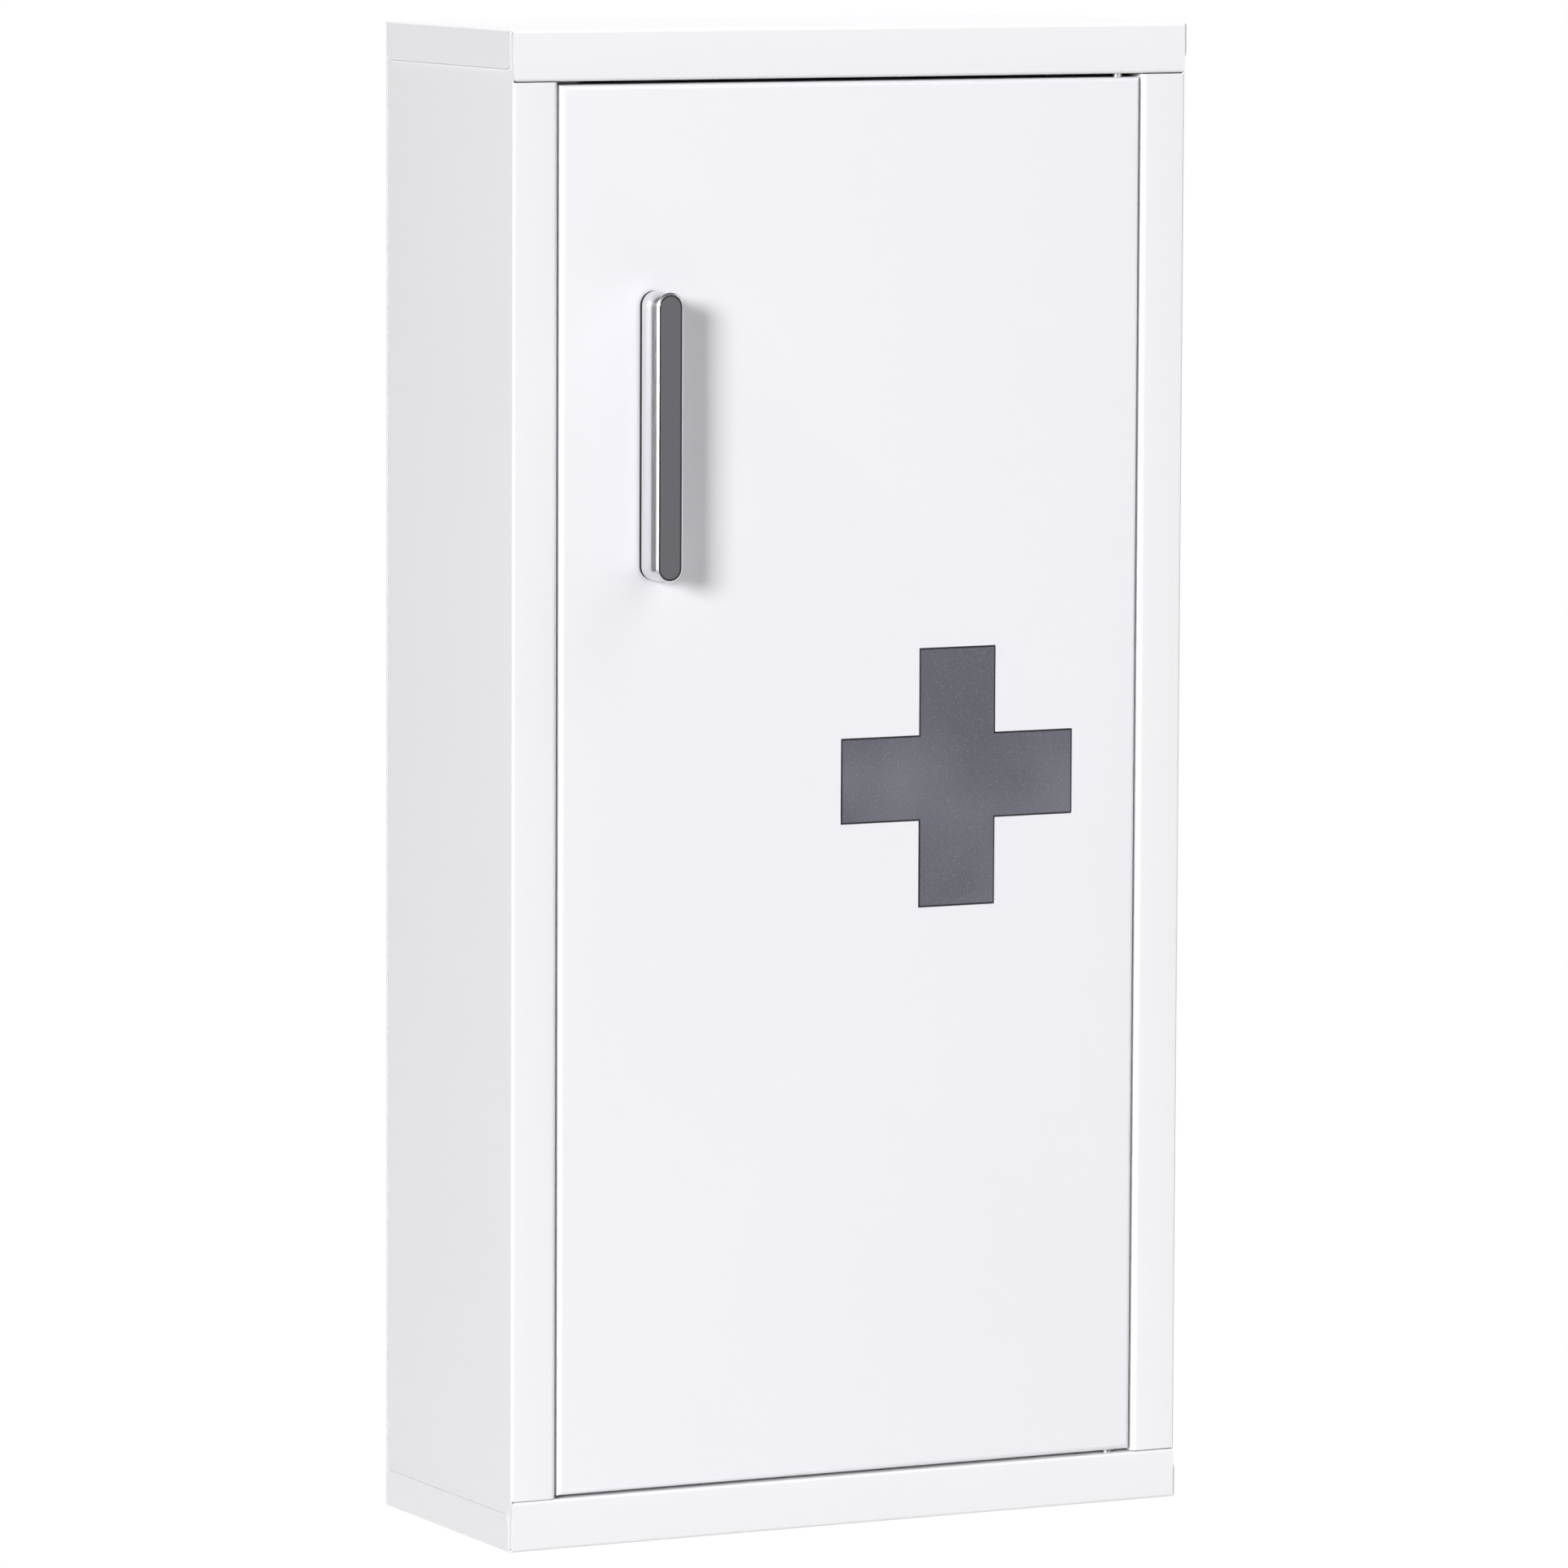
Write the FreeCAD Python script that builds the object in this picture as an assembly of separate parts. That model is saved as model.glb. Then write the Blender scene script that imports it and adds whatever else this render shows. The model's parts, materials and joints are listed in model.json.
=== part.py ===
import FreeCAD, Part
import math
import os

# Wall medicine cabinet of folded and spot-welded sheet steel, in millimetres.
# X runs to the right, Y into the wall and Z up. The origin is the middle of the back, on the wall.
# The door swings forward on two pivot pins at its right-hand end.

# Case
cabinet_width = 300.0
cabinet_height = 600.0
cabinet_depth = 120.0
sheet = 0.9
lap_gap = 0.05
butt_gap = 0.3
tight_bend = 0.4
soft_bend = 1.3

# Top cap and bottom pan, which are the same pressing
front_skirt = 20.0
side_skirt = 15.0
rear_skirt = 15.0
skirt_return = 16.0
front_skirt_corner = 2.0
side_skirt_corner = 4.0

# Side panels
stile_width = 19.5
hinge_return = 12.0
stop_flange = 16.0
rear_flange = 16.0

# Back panel and the holes for its four wall screws
wall_hole_radius = 3.5
wall_hole_pitch_x = 240.0
wall_hole_pitch_z = 500.0

# Shelves and the angle rails they rest on
shelf_heights = {"upper_shelf": 100.0, "lower_shelf": -100.0}
shelf_side_gap = 0.9
shelf_rear_gap = 0.6
shelf_depth = 95.0
shelf_lip = 14.0
shelf_hem = 7.0
shelf_upstand = 12.0
rail_leg = 12.0
rail_length = 74.0
rail_rear_gap = 10.0

# Door
door_side_gap = 1.0
door_top_gap = 1.5
door_bottom_gap = 1.2
door_depth = 15.0
door_rear_flange = 16.0
door_end_flange = 12.0
door_stop_gap = 1.5
corner_slit = 0.3

# Pivot hinge
pin_radius = 2.0
pin_inset = 8.5
pin_setback = 4.5
pin_reach = 6.5
pin_head_radius = 3.2
pin_head = 1.2
pin_seat_gap = 0.03
pin_hole_gap = 0.2
running_gap = 0.06
foot_gap = 0.05
block_width = 18.0
block_height = 12.0
block_chamfer = 1.0

# Cross-shaped window
cross_span = 104.4
cross_arm = 34.5
cross_from_hinge_edge = 81.15
cross_gap = 0.35
cross_chamfer = 0.15
pane_thickness = 2.0
pane_border = 6.0
pane_corner = 4.0
stud_radius = 1.5
stud_length = 7.0
stud_offset = 7.5
stud_pitch = 76.0
strip_length = 92.0
strip_sheet = 1.0
strip_foot = 5.0
strip_tongue = 5.0
nut_across = 5.5
nut_height = 2.4
thread_gap = 0.05

# Handle
handle_length = 114.0
handle_width = 11.5
handle_depth = 14.5
handle_bevel = 0.7
handle_foot_bevel = 0.4
handle_flat = 6.0
handle_plate = 1.9
shoulder_radius = 8.6
grip_groove = 1.6
handle_from_free_edge = 40.15
handle_below_top = 137.9
inlay_rim = 0.1
inlay_gap = 0.3
inlay_thickness = 1.2
gasket_thickness = 1.5
gasket_inset = 0.25
handle_screw_pitch = 96.0
handle_screw_radius = 2.0
handle_screw_bite = 9.0
handle_screw_head_radius = 3.6
handle_screw_head = 2.4
handle_hole_gap = 0.2
backing_width = 16.0
backing_length = 112.0
backing_thickness = 1.5

# Magnetic catch, which holds the door's own steel flange
catch_width = 13.0
catch_body = 29.0
catch_span = 46.0
catch_depth = 12.0
catch_ear = 4.0
catch_corner = 1.0
catch_screw_pitch = 37.0
catch_screw_radius = 1.5
catch_screw_head_radius = 2.7
catch_screw_head = 1.8
catch_screw_point = 0.2
catch_gap = 0.1
magnet_width = 5.0
magnet_height = 24.0
magnet_depth = 9.0
magnet_setback = 0.6
pole_thickness = 1.2
pole_depth = 10.0

# Rubber bumpers on the door
bumper_radius = 4.0
bumper_from_end = 80.0
bumper_gap = 0.1

# Faces that several pieces share
front_y = -cabinet_depth
rear_y = -(sheet + lap_gap)
fold = sheet + tight_bend
door_fold = sheet + soft_bend
half_width = cabinet_width / 2
half_height = cabinet_height / 2
panel_x = half_width - sheet - lap_gap
web_x = panel_x - sheet
opening_x = panel_x - stile_width
opening_z = half_height - front_skirt
door_x = opening_x - door_side_gap
door_top = opening_z - door_top_gap
door_bottom = door_bottom_gap - opening_z
skin_y = front_y + sheet
seat_y = skin_y + lap_gap
door_rear_y = front_y + door_depth
stop_y = door_rear_y + door_stop_gap
pin_x = door_x - pin_inset
pin_y = front_y + pin_setback
cross_x = door_x - cross_from_hinge_edge
handle_x = handle_from_free_edge - door_x
handle_z = door_top - handle_below_top
stop_x = -(opening_x - stop_flange / 2)
length_tolerance = 1e-4


def place(plane, u, v, height):
    """Turn a point of a drawing plane into a point of the cabinet."""
    if plane == "plan":
        return FreeCAD.Vector(u, v, height)
    if plane == "side":
        return FreeCAD.Vector(height, u, v)
    return FreeCAD.Vector(u, height, v)


def outline(points, radii):
    """Close a wire round the points, with an arc at each corner that has a radius."""
    starts, middles, ends = [], [], []
    for i, corner in enumerate(points):
        arriving = (corner - points[i - 1]).normalize()
        leaving = (points[(i + 1) % len(points)] - corner).normalize()
        bisector = (leaving - arriving).normalize()
        half_turn = arriving.getAngle(leaving) / 2
        setback = radii[i] * math.tan(half_turn)
        centre = corner + bisector * (radii[i] / math.cos(half_turn))
        starts.append(corner - arriving * setback)
        middles.append(centre - bisector * radii[i])
        ends.append(corner + leaving * setback)
    edges = []
    for i, radius in enumerate(radii):
        if radius > 0:
            edges.append(Part.Arc(starts[i], middles[i], ends[i]).toShape())
        edges.append(Part.LineSegment(ends[i], starts[(i + 1) % len(points)]).toShape())
    return Part.Wire(edges)


def prism(plane, points, radii, low, high):
    """Extrude an outline of a drawing plane from one height to another."""
    if not isinstance(radii, (list, tuple)):
        radii = [radii] * len(points)
    placed = [place(plane, u, v, low) for u, v in points]
    face = Part.Face(outline(placed, radii))
    return face.extrude(place(plane, 0, 0, high - low))


def rectangle(u_low, v_low, u_high, v_high):
    """Give the four corners of a rectangle."""
    return [(u_low, v_low), (u_high, v_low), (u_high, v_high), (u_low, v_high)]


def block(x_low, y_low, z_low, x_high, y_high, z_high):
    """Make a plain box between two corners."""
    corner = FreeCAD.Vector(x_low, y_low, z_low)
    return Part.makeBox(x_high - x_low, y_high - y_low, z_high - z_low, corner)


def rod(x, y, z, radius, length, direction):
    """Make a round bar that starts at a point and runs along a direction."""
    return Part.makeCylinder(radius, length, FreeCAD.Vector(x, y, z), direction)


def folded_strip(plane, path, bends, side, low, high, thickness=sheet):
    """Extrude a folded sheet. The path is one face, bends are inner radii, and side is 1
    where the steel lies to the left of the path and -1 where it lies to the right."""
    flat = [FreeCAD.Vector(u, v, 0) for u, v in path]
    normals = []
    for i in range(len(flat) - 1):
        run = (flat[i + 1] - flat[i]).normalize()
        normals.append(FreeCAD.Vector(-run.y, run.x, 0) * side)
    offset = [flat[0] + normals[0] * thickness]
    face_radii, offset_radii = [0], [0]
    for i in range(1, len(flat) - 1):
        before, after = normals[i - 1], normals[i]
        shift = (before + after) * (thickness / (1 + before.dot(after)))
        offset.append(flat[i] + shift)
        turns_left = before.cross(after).z > 0
        towards_steel = turns_left == (side > 0)
        inner = bends[i - 1]
        outer = inner + thickness
        face_radii.append(outer if towards_steel else inner)
        offset_radii.append(inner if towards_steel else outer)
    offset.append(flat[-1] + normals[-1] * thickness)
    face_radii.append(0)
    offset_radii.append(0)
    ring = flat + offset[::-1]
    radii = face_radii + offset_radii[::-1]
    return prism(plane, [(p.x, p.y) for p in ring], radii, low, high)


def mirrored(shape, normal):
    """Mirror a shape in a plane through the origin."""
    return shape.mirror(FreeCAD.Vector(0, 0, 0), normal)


def edges_at(shape, test):
    """List the edges whose every vertex passes a test."""
    return [e for e in shape.Edges if all(test(v.Point) for v in e.Vertexes)]


def same(a, b):
    """Say whether two lengths are equal."""
    return abs(a - b) < length_tolerance


def in_groups(pieces):
    """Keep separate solids together in one shape."""
    return Part.makeCompound(pieces)


def as_one(first, *others):
    """Join solids that share steel into one solid."""
    return first.fuse(list(others)).removeSplitter()


ALONG_X = FreeCAD.Vector(1, 0, 0)
ALONG_Y = FreeCAD.Vector(0, 1, 0)
ALONG_Z = FreeCAD.Vector(0, 0, 1)


def tray():
    """Cap: a plate with folded skirts, whose front skirt returns inwards to carry a hinge pin."""
    skirt_x = half_width - fold
    plate_front = front_y + fold
    plate_rear = rear_y - fold
    low_side = half_height - side_skirt
    front = folded_strip(
        "side",
        [(front_y + skirt_return, opening_z), (front_y, opening_z),
         (front_y, half_height), (plate_front + fold, half_height)],
        [tight_bend, tight_bend], -1, -skirt_x, skirt_x)
    rounded = prism(
        "front", rectangle(-skirt_x, opening_z, skirt_x, half_height),
        [front_skirt_corner, front_skirt_corner, 0, 0], front_y, front_y + skirt_return)
    front = front.common(rounded)
    for x_low, x_high in ((-skirt_x, front_skirt_corner - skirt_x),
                          (skirt_x - front_skirt_corner, skirt_x)):
        relief = block(x_low, plate_front, opening_z, x_high, front_y + skirt_return,
                       opening_z + fold)
        front = front.cut(relief)
    sides = folded_strip(
        "front",
        [(-half_width, low_side), (-half_width, half_height),
         (half_width, half_height), (half_width, low_side)],
        [tight_bend, tight_bend], -1, plate_front, plate_rear)
    side_outline = prism(
        "side", rectangle(plate_front, low_side, plate_rear, half_height),
        [side_skirt_corner, side_skirt_corner, 0, 0], -half_width, half_width)
    sides = sides.common(side_outline)
    rear_x = panel_x - rear_flange - butt_gap
    rear = folded_strip(
        "side",
        [(plate_rear - fold, half_height), (rear_y, half_height),
         (rear_y, half_height - rear_skirt)],
        [tight_bend], -1, -rear_x, rear_x)
    whole = as_one(sides, front, rear)
    pin_hole = rod(pin_x, pin_y, opening_z, pin_radius + pin_seat_gap, sheet, ALONG_Z)
    return whole.cut(pin_hole)


def side_panel(inner_path, inner_bends):
    """Left side panel: rear flange, web and stile, then the given folds round the opening."""
    stile_end = opening_z - butt_gap
    web_end = half_height - fold
    back_path = [(rear_flange - panel_x, rear_y), (-panel_x, rear_y)]
    ears = folded_strip(
        "plan", back_path + [(-panel_x, front_y + fold)], [tight_bend], 1, -web_end, web_end)
    face = folded_strip(
        "plan", [(-panel_x, front_y + 2 * fold), (-panel_x, front_y)] + inner_path,
        [tight_bend] + inner_bends, 1, -stile_end, stile_end)
    return as_one(ears, face)


def left_side_panel():
    """Latch side: the stile returns to a flange that stops the door and holds the catch."""
    path = [(-opening_x, front_y), (-opening_x, stop_y), (stop_flange - opening_x, stop_y)]
    panel = side_panel(path, [soft_bend, tight_bend])
    half_window_x = magnet_width / 2 + pole_thickness + butt_gap
    half_window_z = magnet_height / 2 + butt_gap
    window = block(stop_x - half_window_x, stop_y, -half_window_z,
                   stop_x + half_window_x, stop_y + sheet, half_window_z)
    panel = panel.cut(window)
    for z in (-catch_screw_pitch / 2, catch_screw_pitch / 2):
        hole = rod(stop_x, stop_y, z, catch_screw_radius + thread_gap, sheet, ALONG_Y)
        panel = panel.cut(hole)
    return panel


def right_side_panel():
    """Hinge side: the stile has a short return, clear of the swinging door."""
    path = [(-opening_x, front_y), (-opening_x, front_y + hinge_return)]
    return mirrored(side_panel(path, [soft_bend]), ALONG_X)


def back_panel():
    """Flat back with four wall screw holes."""
    panel = block(-panel_x, -sheet, -half_height, panel_x, 0, half_height)
    for x in (-wall_hole_pitch_x / 2, wall_hole_pitch_x / 2):
        for z in (-wall_hole_pitch_z / 2, wall_hole_pitch_z / 2):
            panel = panel.cut(rod(x, -sheet, z, wall_hole_radius, sheet, ALONG_Y))
    return panel


def shelf(top_z):
    """Shelf: an upstand at the rear, and a hemmed lip turned down at the front."""
    half_length = web_x - shelf_side_gap
    shelf_rear = rear_y - sheet - shelf_rear_gap
    shelf_front = shelf_rear - shelf_depth
    upstand_y = shelf_rear - sheet
    path = [(upstand_y, top_z + shelf_upstand), (upstand_y, top_z), (shelf_front, top_z),
            (shelf_front, top_z - shelf_lip), (shelf_front + shelf_hem, top_z - shelf_lip)]
    return folded_strip("side", path, [tight_bend, tight_bend, tight_bend], 1,
                        -half_length, half_length)


def shelf_rail(top_z):
    """Left rail: an angle welded to the web, with the shelf lying on its level leg."""
    wall_x = -(web_x - lap_gap)
    level = top_z - sheet - lap_gap
    path = [(wall_x, level - rail_leg), (wall_x, level), (wall_x + rail_leg, level)]
    rear = -rail_rear_gap
    return folded_strip("front", path, [tight_bend], -1, rear - rail_length, rear)


def shelf_rails():
    """Four rails, a left and a right one for each shelf."""
    rails = []
    for top_z in shelf_heights.values():
        left = shelf_rail(top_z)
        rails.append(left)
        rails.append(mirrored(left, ALONG_X))
    return in_groups(rails)


def hinge_pin(flange_face, door_face, up):
    """Pivot pin: its head is welded behind the return flange and its end enters the door."""
    inward = ALONG_Z * up
    head_base = flange_face - up * (sheet + lap_gap)
    tip = door_face + up * pin_reach
    shaft = rod(pin_x, pin_y, head_base, pin_radius, abs(tip - head_base), inward)
    head = rod(pin_x, pin_y, head_base, pin_head_radius, pin_head, inward * -1)
    return as_one(shaft, head)


def hinge_block(door_face, up):
    """Nylon block that fills the door's corner; its blind bore is the bearing."""
    seat = door_face + up * (sheet + lap_gap)
    x_high = door_x - sheet - lap_gap
    x_low = x_high - block_width
    y_high = door_rear_y - sheet - lap_gap
    far = seat + up * block_height
    body = block(x_low, seat_y, min(seat, far), x_high, y_high, max(seat, far))
    body = body.makeChamfer(block_chamfer, body.Edges)
    bore_end = door_face + up * (pin_reach + foot_gap)
    bore = rod(pin_x, pin_y, door_face, pin_radius + running_gap, abs(bore_end - door_face),
               ALONG_Z * up)
    return body.cut(bore)


def cross_points(grow):
    """Give the twelve corners of the cross, grown or shrunk all round."""
    far = cross_span / 2 + grow
    near = cross_arm / 2 + grow
    ring = [(-near, far), (-near, near), (-far, near), (-far, -near), (-near, -near), (-near, -far),
            (near, -far), (near, -near), (far, -near), (far, near), (near, near), (near, far)]
    return [(x + cross_x, z) for x, z in ring]


def door_shell(inset, front_radius, rear_radius):
    """A closed box inside the door's outline, with its front and rear edges rounded."""
    y_low = front_y + inset
    y_high = door_rear_y - inset
    shell = block(inset - door_x, y_low, door_bottom + inset, door_x - inset, y_high,
                  door_top - inset)
    shell = shell.makeFillet(front_radius, edges_at(shell, lambda p: same(p.y, y_low)))
    return shell.makeFillet(rear_radius, edges_at(shell, lambda p: same(p.y, y_high)))


def door_panel():
    """Door: a folded tray, open at the back inside its flanges, with the cross cut out."""
    panel = door_shell(0, door_fold, fold).cut(door_shell(sheet, soft_bend, tight_bend))
    window_x = door_x - door_rear_flange
    window_top = door_top - door_end_flange
    window_bottom = door_bottom + door_end_flange
    inner_rear = door_rear_y - sheet
    panel = panel.cut(block(-window_x, inner_rear - fold, window_bottom,
                            window_x, door_rear_y, window_top))
    for z_low, z_high in ((window_top, door_top), (door_bottom, window_bottom)):
        for side in (-1, 1):
            seam = side * (door_x - sheet)
            x_low, x_high = sorted((seam, seam - side * corner_slit))
            panel = panel.cut(block(x_low, front_y + door_fold, z_low, x_high, door_rear_y, z_high))
    panel = panel.cut(prism("front", cross_points(0), 0, front_y, skin_y))
    for z in handle_screw_heights():
        hole = rod(handle_x, front_y, z, handle_screw_radius + handle_hole_gap, sheet,
                   ALONG_Y)
        panel = panel.cut(hole)
    for face, up in ((door_top, -1), (door_bottom, 1)):
        hole = rod(pin_x, pin_y, face, pin_radius + pin_hole_gap, sheet, ALONG_Z * up)
        panel = panel.cut(hole)
    return panel


def cross_pane():
    """Acrylic pane behind the door skin, with a raised cross that fills the cut-out."""
    reach = cross_span / 2 + pane_border
    plate = prism("front", rectangle(cross_x - reach, -reach, cross_x + reach, reach),
                  pane_corner, seat_y, seat_y + pane_thickness)
    raised = prism("front", cross_points(-cross_gap), 0, front_y, seat_y)
    rim = edges_at(raised, lambda p: same(p.y, front_y))
    raised = raised.makeChamfer(cross_chamfer, rim)
    return as_one(plate, raised)


def stud_rows():
    """Give the height of each row of studs and the direction from there to the pane."""
    reach = cross_span / 2 + pane_border + stud_offset
    return [(reach, -1), (-reach, 1)]


def stud_columns():
    """Give the places of the studs along a row."""
    return (cross_x - stud_pitch / 2, cross_x + stud_pitch / 2)


def stud_places():
    """Give the x and z of every stud."""
    return [(x, z) for z, _ in stud_rows() for x in stud_columns()]


def pane_studs():
    """Four studs welded to the back of the door skin."""
    return in_groups([rod(x, skin_y, z, stud_radius, stud_length, ALONG_Y)
                      for x, z in stud_places()])


def pane_strips():
    """Two strips bent like a Z, each from its studs up onto the pane's edge."""
    strips = []
    half_length = strip_length / 2
    pane_rear = seat_y + pane_thickness + lap_gap
    for z, inward in stud_rows():
        riser = z + inward * (stud_offset - lap_gap - strip_sheet)
        path = [(seat_y, z - inward * strip_foot), (seat_y, riser), (pane_rear, riser),
                (pane_rear, riser + inward * (strip_tongue + strip_sheet))]
        strip = folded_strip("side", path, [tight_bend, tight_bend], -inward,
                             cross_x - half_length, cross_x + half_length, strip_sheet)
        for x in stud_columns():
            hole = rod(x, seat_y, z, stud_radius + thread_gap, strip_sheet, ALONG_Y)
            strip = strip.cut(hole)
        strips.append(strip)
    return in_groups(strips)


def pane_nuts():
    """Four hexagon nuts on the studs."""
    nuts = []
    seat = seat_y + strip_sheet + lap_gap
    for x, z in stud_places():
        hexagon = Part.makePolygon(hexagon_corners(x, seat, z))
        nut = Part.Face(hexagon).extrude(ALONG_Y * nut_height)
        bore = rod(x, seat, z, stud_radius + thread_gap, nut_height, ALONG_Y)
        nuts.append(nut.cut(bore))
    return in_groups(nuts)


def hexagon_corners(x, y, z):
    """Give the corners of a nut as a closed ring of points."""
    sides = 6
    corner_radius = nut_across / 3 ** 0.5
    spoke = FreeCAD.Vector(0, 0, corner_radius)
    corners = []
    for i in range(sides + 1):
        turn = FreeCAD.Rotation(ALONG_Y, 360 / sides * i)
        corners.append(FreeCAD.Vector(x, y, z) + turn.multVec(spoke))
    return corners


def handle_screw_heights():
    """Give the heights of the two handle screws."""
    return (handle_z - handle_screw_pitch / 2, handle_z + handle_screw_pitch / 2)


def stadium(inset, y_low, y_high):
    """A bar with round ends that stands along Z, drawn in from the handle's outline."""
    radius = handle_width / 2 - inset
    left, right = handle_x - radius, handle_x + radius
    half_straight = (handle_length - handle_width) / 2
    low, high = handle_z - half_straight, handle_z + half_straight
    corners = [FreeCAD.Vector(x, y_low, z)
               for x, z in ((left, low), (left, high), (right, high), (right, low))]
    top = FreeCAD.Vector(handle_x, y_low, high + radius)
    bottom = FreeCAD.Vector(handle_x, y_low, low - radius)
    ring = [Part.LineSegment(corners[0], corners[1]), Part.Arc(corners[1], top, corners[2]),
            Part.LineSegment(corners[2], corners[3]), Part.Arc(corners[3], bottom, corners[0])]
    face = Part.Face(Part.Wire([edge.toShape() for edge in ring]))
    return face.extrude(ALONG_Y * (y_high - y_low))


def handle_face_y():
    """The handle's front face."""
    return front_y - gasket_thickness - handle_depth


def grip_section(z):
    """Left half of the grip's section, flat at the foot and rounded in to a finger groove."""
    foot_y = front_y - gasket_thickness
    plate_y = handle_face_y() + handle_plate
    side_x = handle_x - handle_width / 2
    shoulder_y = foot_y - handle_flat
    neck_turn = math.acos(1 - grip_groove / shoulder_radius)
    middle, neck = [FreeCAD.Vector(side_x + shoulder_radius * (1 - math.cos(turn)),
                                   shoulder_y - shoulder_radius * math.sin(turn), z)
                    for turn in (neck_turn / 2, neck_turn)]
    corners = [neck] + [FreeCAD.Vector(x, y, z) for x, y in (
        (neck.x, plate_y), (handle_x, plate_y), (handle_x, foot_y),
        (side_x + handle_foot_bevel, foot_y), (side_x, foot_y - handle_foot_bevel),
        (side_x, shoulder_y))]
    edges = [Part.LineSegment(a, b) for a, b in zip(corners, corners[1:])]
    edges.append(Part.Arc(corners[-1], middle, neck))
    return Part.Face(Part.Wire([edge.toShape() for edge in edges]))


def handle_grip():
    """Body of the handle: its section run straight, and turned round each end."""
    half_straight = (handle_length - handle_width) / 2
    low, high = handle_z - half_straight, handle_z + half_straight
    left = grip_section(low).extrude(ALONG_Z * (high - low))
    right = left.mirror(FreeCAD.Vector(handle_x, 0, 0), ALONG_X)
    top = grip_section(high).revolve(FreeCAD.Vector(handle_x, 0, high), ALONG_Y, 180)
    bottom = top.mirror(FreeCAD.Vector(0, 0, handle_z), ALONG_Z)
    return as_one(left, right, top, bottom)


def handle_bar():
    """Bar handle: a grip and a bevelled face plate in one, with a pocket and screw holes."""
    foot_y = front_y - gasket_thickness
    face_y = handle_face_y()
    plate = stadium(0, face_y, face_y + handle_plate)
    plate = plate.makeChamfer(handle_bevel, edges_at(plate, lambda p: same(p.y, face_y)))
    bar = as_one(handle_grip(), plate)
    pocket = stadium(handle_bevel + inlay_rim, face_y, face_y + inlay_thickness + lap_gap)
    bar = bar.cut(pocket)
    for z in handle_screw_heights():
        hole = rod(handle_x, foot_y, z, handle_screw_radius + thread_gap,
                   handle_screw_bite + handle_hole_gap, ALONG_Y * -1)
        bar = bar.cut(hole)
    return bar


def handle_inlay():
    """Dark strip let into the face of the handle."""
    face_y = handle_face_y()
    return stadium(handle_bevel + inlay_rim + inlay_gap, face_y, face_y + inlay_thickness)


def handle_gasket():
    """Thin black pad between the handle and the paint."""
    pad = stadium(gasket_inset, front_y - gasket_thickness, front_y)
    for z in handle_screw_heights():
        hole = rod(handle_x, front_y, z, handle_screw_radius + handle_hole_gap,
                   gasket_thickness, ALONG_Y * -1)
        pad = pad.cut(hole)
    return pad


def handle_backing_plate():
    """Steel strip inside the door that spreads the pull of the handle."""
    half_x = backing_width / 2
    half_z = backing_length / 2
    plate = block(handle_x - half_x, seat_y, handle_z - half_z,
                  handle_x + half_x, seat_y + backing_thickness, handle_z + half_z)
    for z in handle_screw_heights():
        hole = rod(handle_x, seat_y, z, handle_screw_radius + handle_hole_gap,
                   backing_thickness, ALONG_Y)
        plate = plate.cut(hole)
    return plate


def handle_screws():
    """Two screws driven forward into the handle."""
    seat = seat_y + backing_thickness
    tip = front_y - gasket_thickness - handle_screw_bite
    screws = []
    for z in handle_screw_heights():
        shank = rod(handle_x, tip, z, handle_screw_radius, seat - tip, ALONG_Y)
        head = rod(handle_x, seat, z, handle_screw_head_radius, handle_screw_head, ALONG_Y)
        screws.append(as_one(shank, head))
    return in_groups(screws)


def catch_housing():
    """Plastic housing behind the stop flange, with screw ears and a slot for the magnet."""
    base = stop_y + sheet + lap_gap
    half_x = catch_width / 2
    body = block(stop_x - half_x, base, -catch_body / 2,
                 stop_x + half_x, base + catch_depth, catch_body / 2)
    ears = prism("front", rectangle(stop_x - half_x, -catch_span / 2,
                                    stop_x + half_x, catch_span / 2),
                 catch_corner, base, base + catch_ear)
    housing = as_one(body, ears)
    slot_x = magnet_width / 2 + pole_thickness + catch_gap
    slot_z = magnet_height / 2 + catch_gap
    slot = block(stop_x - slot_x, base, -slot_z, stop_x + slot_x, pole_rear_y() + catch_gap, slot_z)
    housing = housing.cut(slot)
    for z in (-catch_screw_pitch / 2, catch_screw_pitch / 2):
        hole = rod(stop_x, base, z, catch_screw_radius + catch_gap, catch_ear, ALONG_Y)
        housing = housing.cut(hole)
    return housing


def pole_front_y():
    """Front tips of the pole plates, a hair behind the flange of the closed door."""
    return door_rear_y + catch_gap


def pole_rear_y():
    """Rear edges of the pole plates."""
    return pole_front_y() + pole_depth


def catch_magnet():
    """Ceramic magnet held between the two pole plates."""
    front = pole_front_y() + magnet_setback
    return block(stop_x - magnet_width / 2, front, -magnet_height / 2,
                 stop_x + magnet_width / 2, front + magnet_depth, magnet_height / 2)


def catch_pole_plates():
    """Two steel plates that carry the magnet's pull to the door."""
    plates = []
    for side in (-1, 1):
        inner = stop_x + side * magnet_width / 2
        x_low, x_high = sorted((inner, inner + side * pole_thickness))
        plates.append(block(x_low, pole_front_y(), -magnet_height / 2,
                            x_high, pole_rear_y(), magnet_height / 2))
    return in_groups(plates)


def catch_screws():
    """Two screws through the housing's ears into the stop flange."""
    seat = stop_y + sheet + lap_gap + catch_ear
    tip = stop_y - catch_screw_point
    screws = []
    for z in (-catch_screw_pitch / 2, catch_screw_pitch / 2):
        shank = rod(stop_x, tip, z, catch_screw_radius, seat - tip, ALONG_Y)
        head = rod(stop_x, seat, z, catch_screw_head_radius, catch_screw_head, ALONG_Y)
        screws.append(as_one(shank, head))
    return in_groups(screws)


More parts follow.
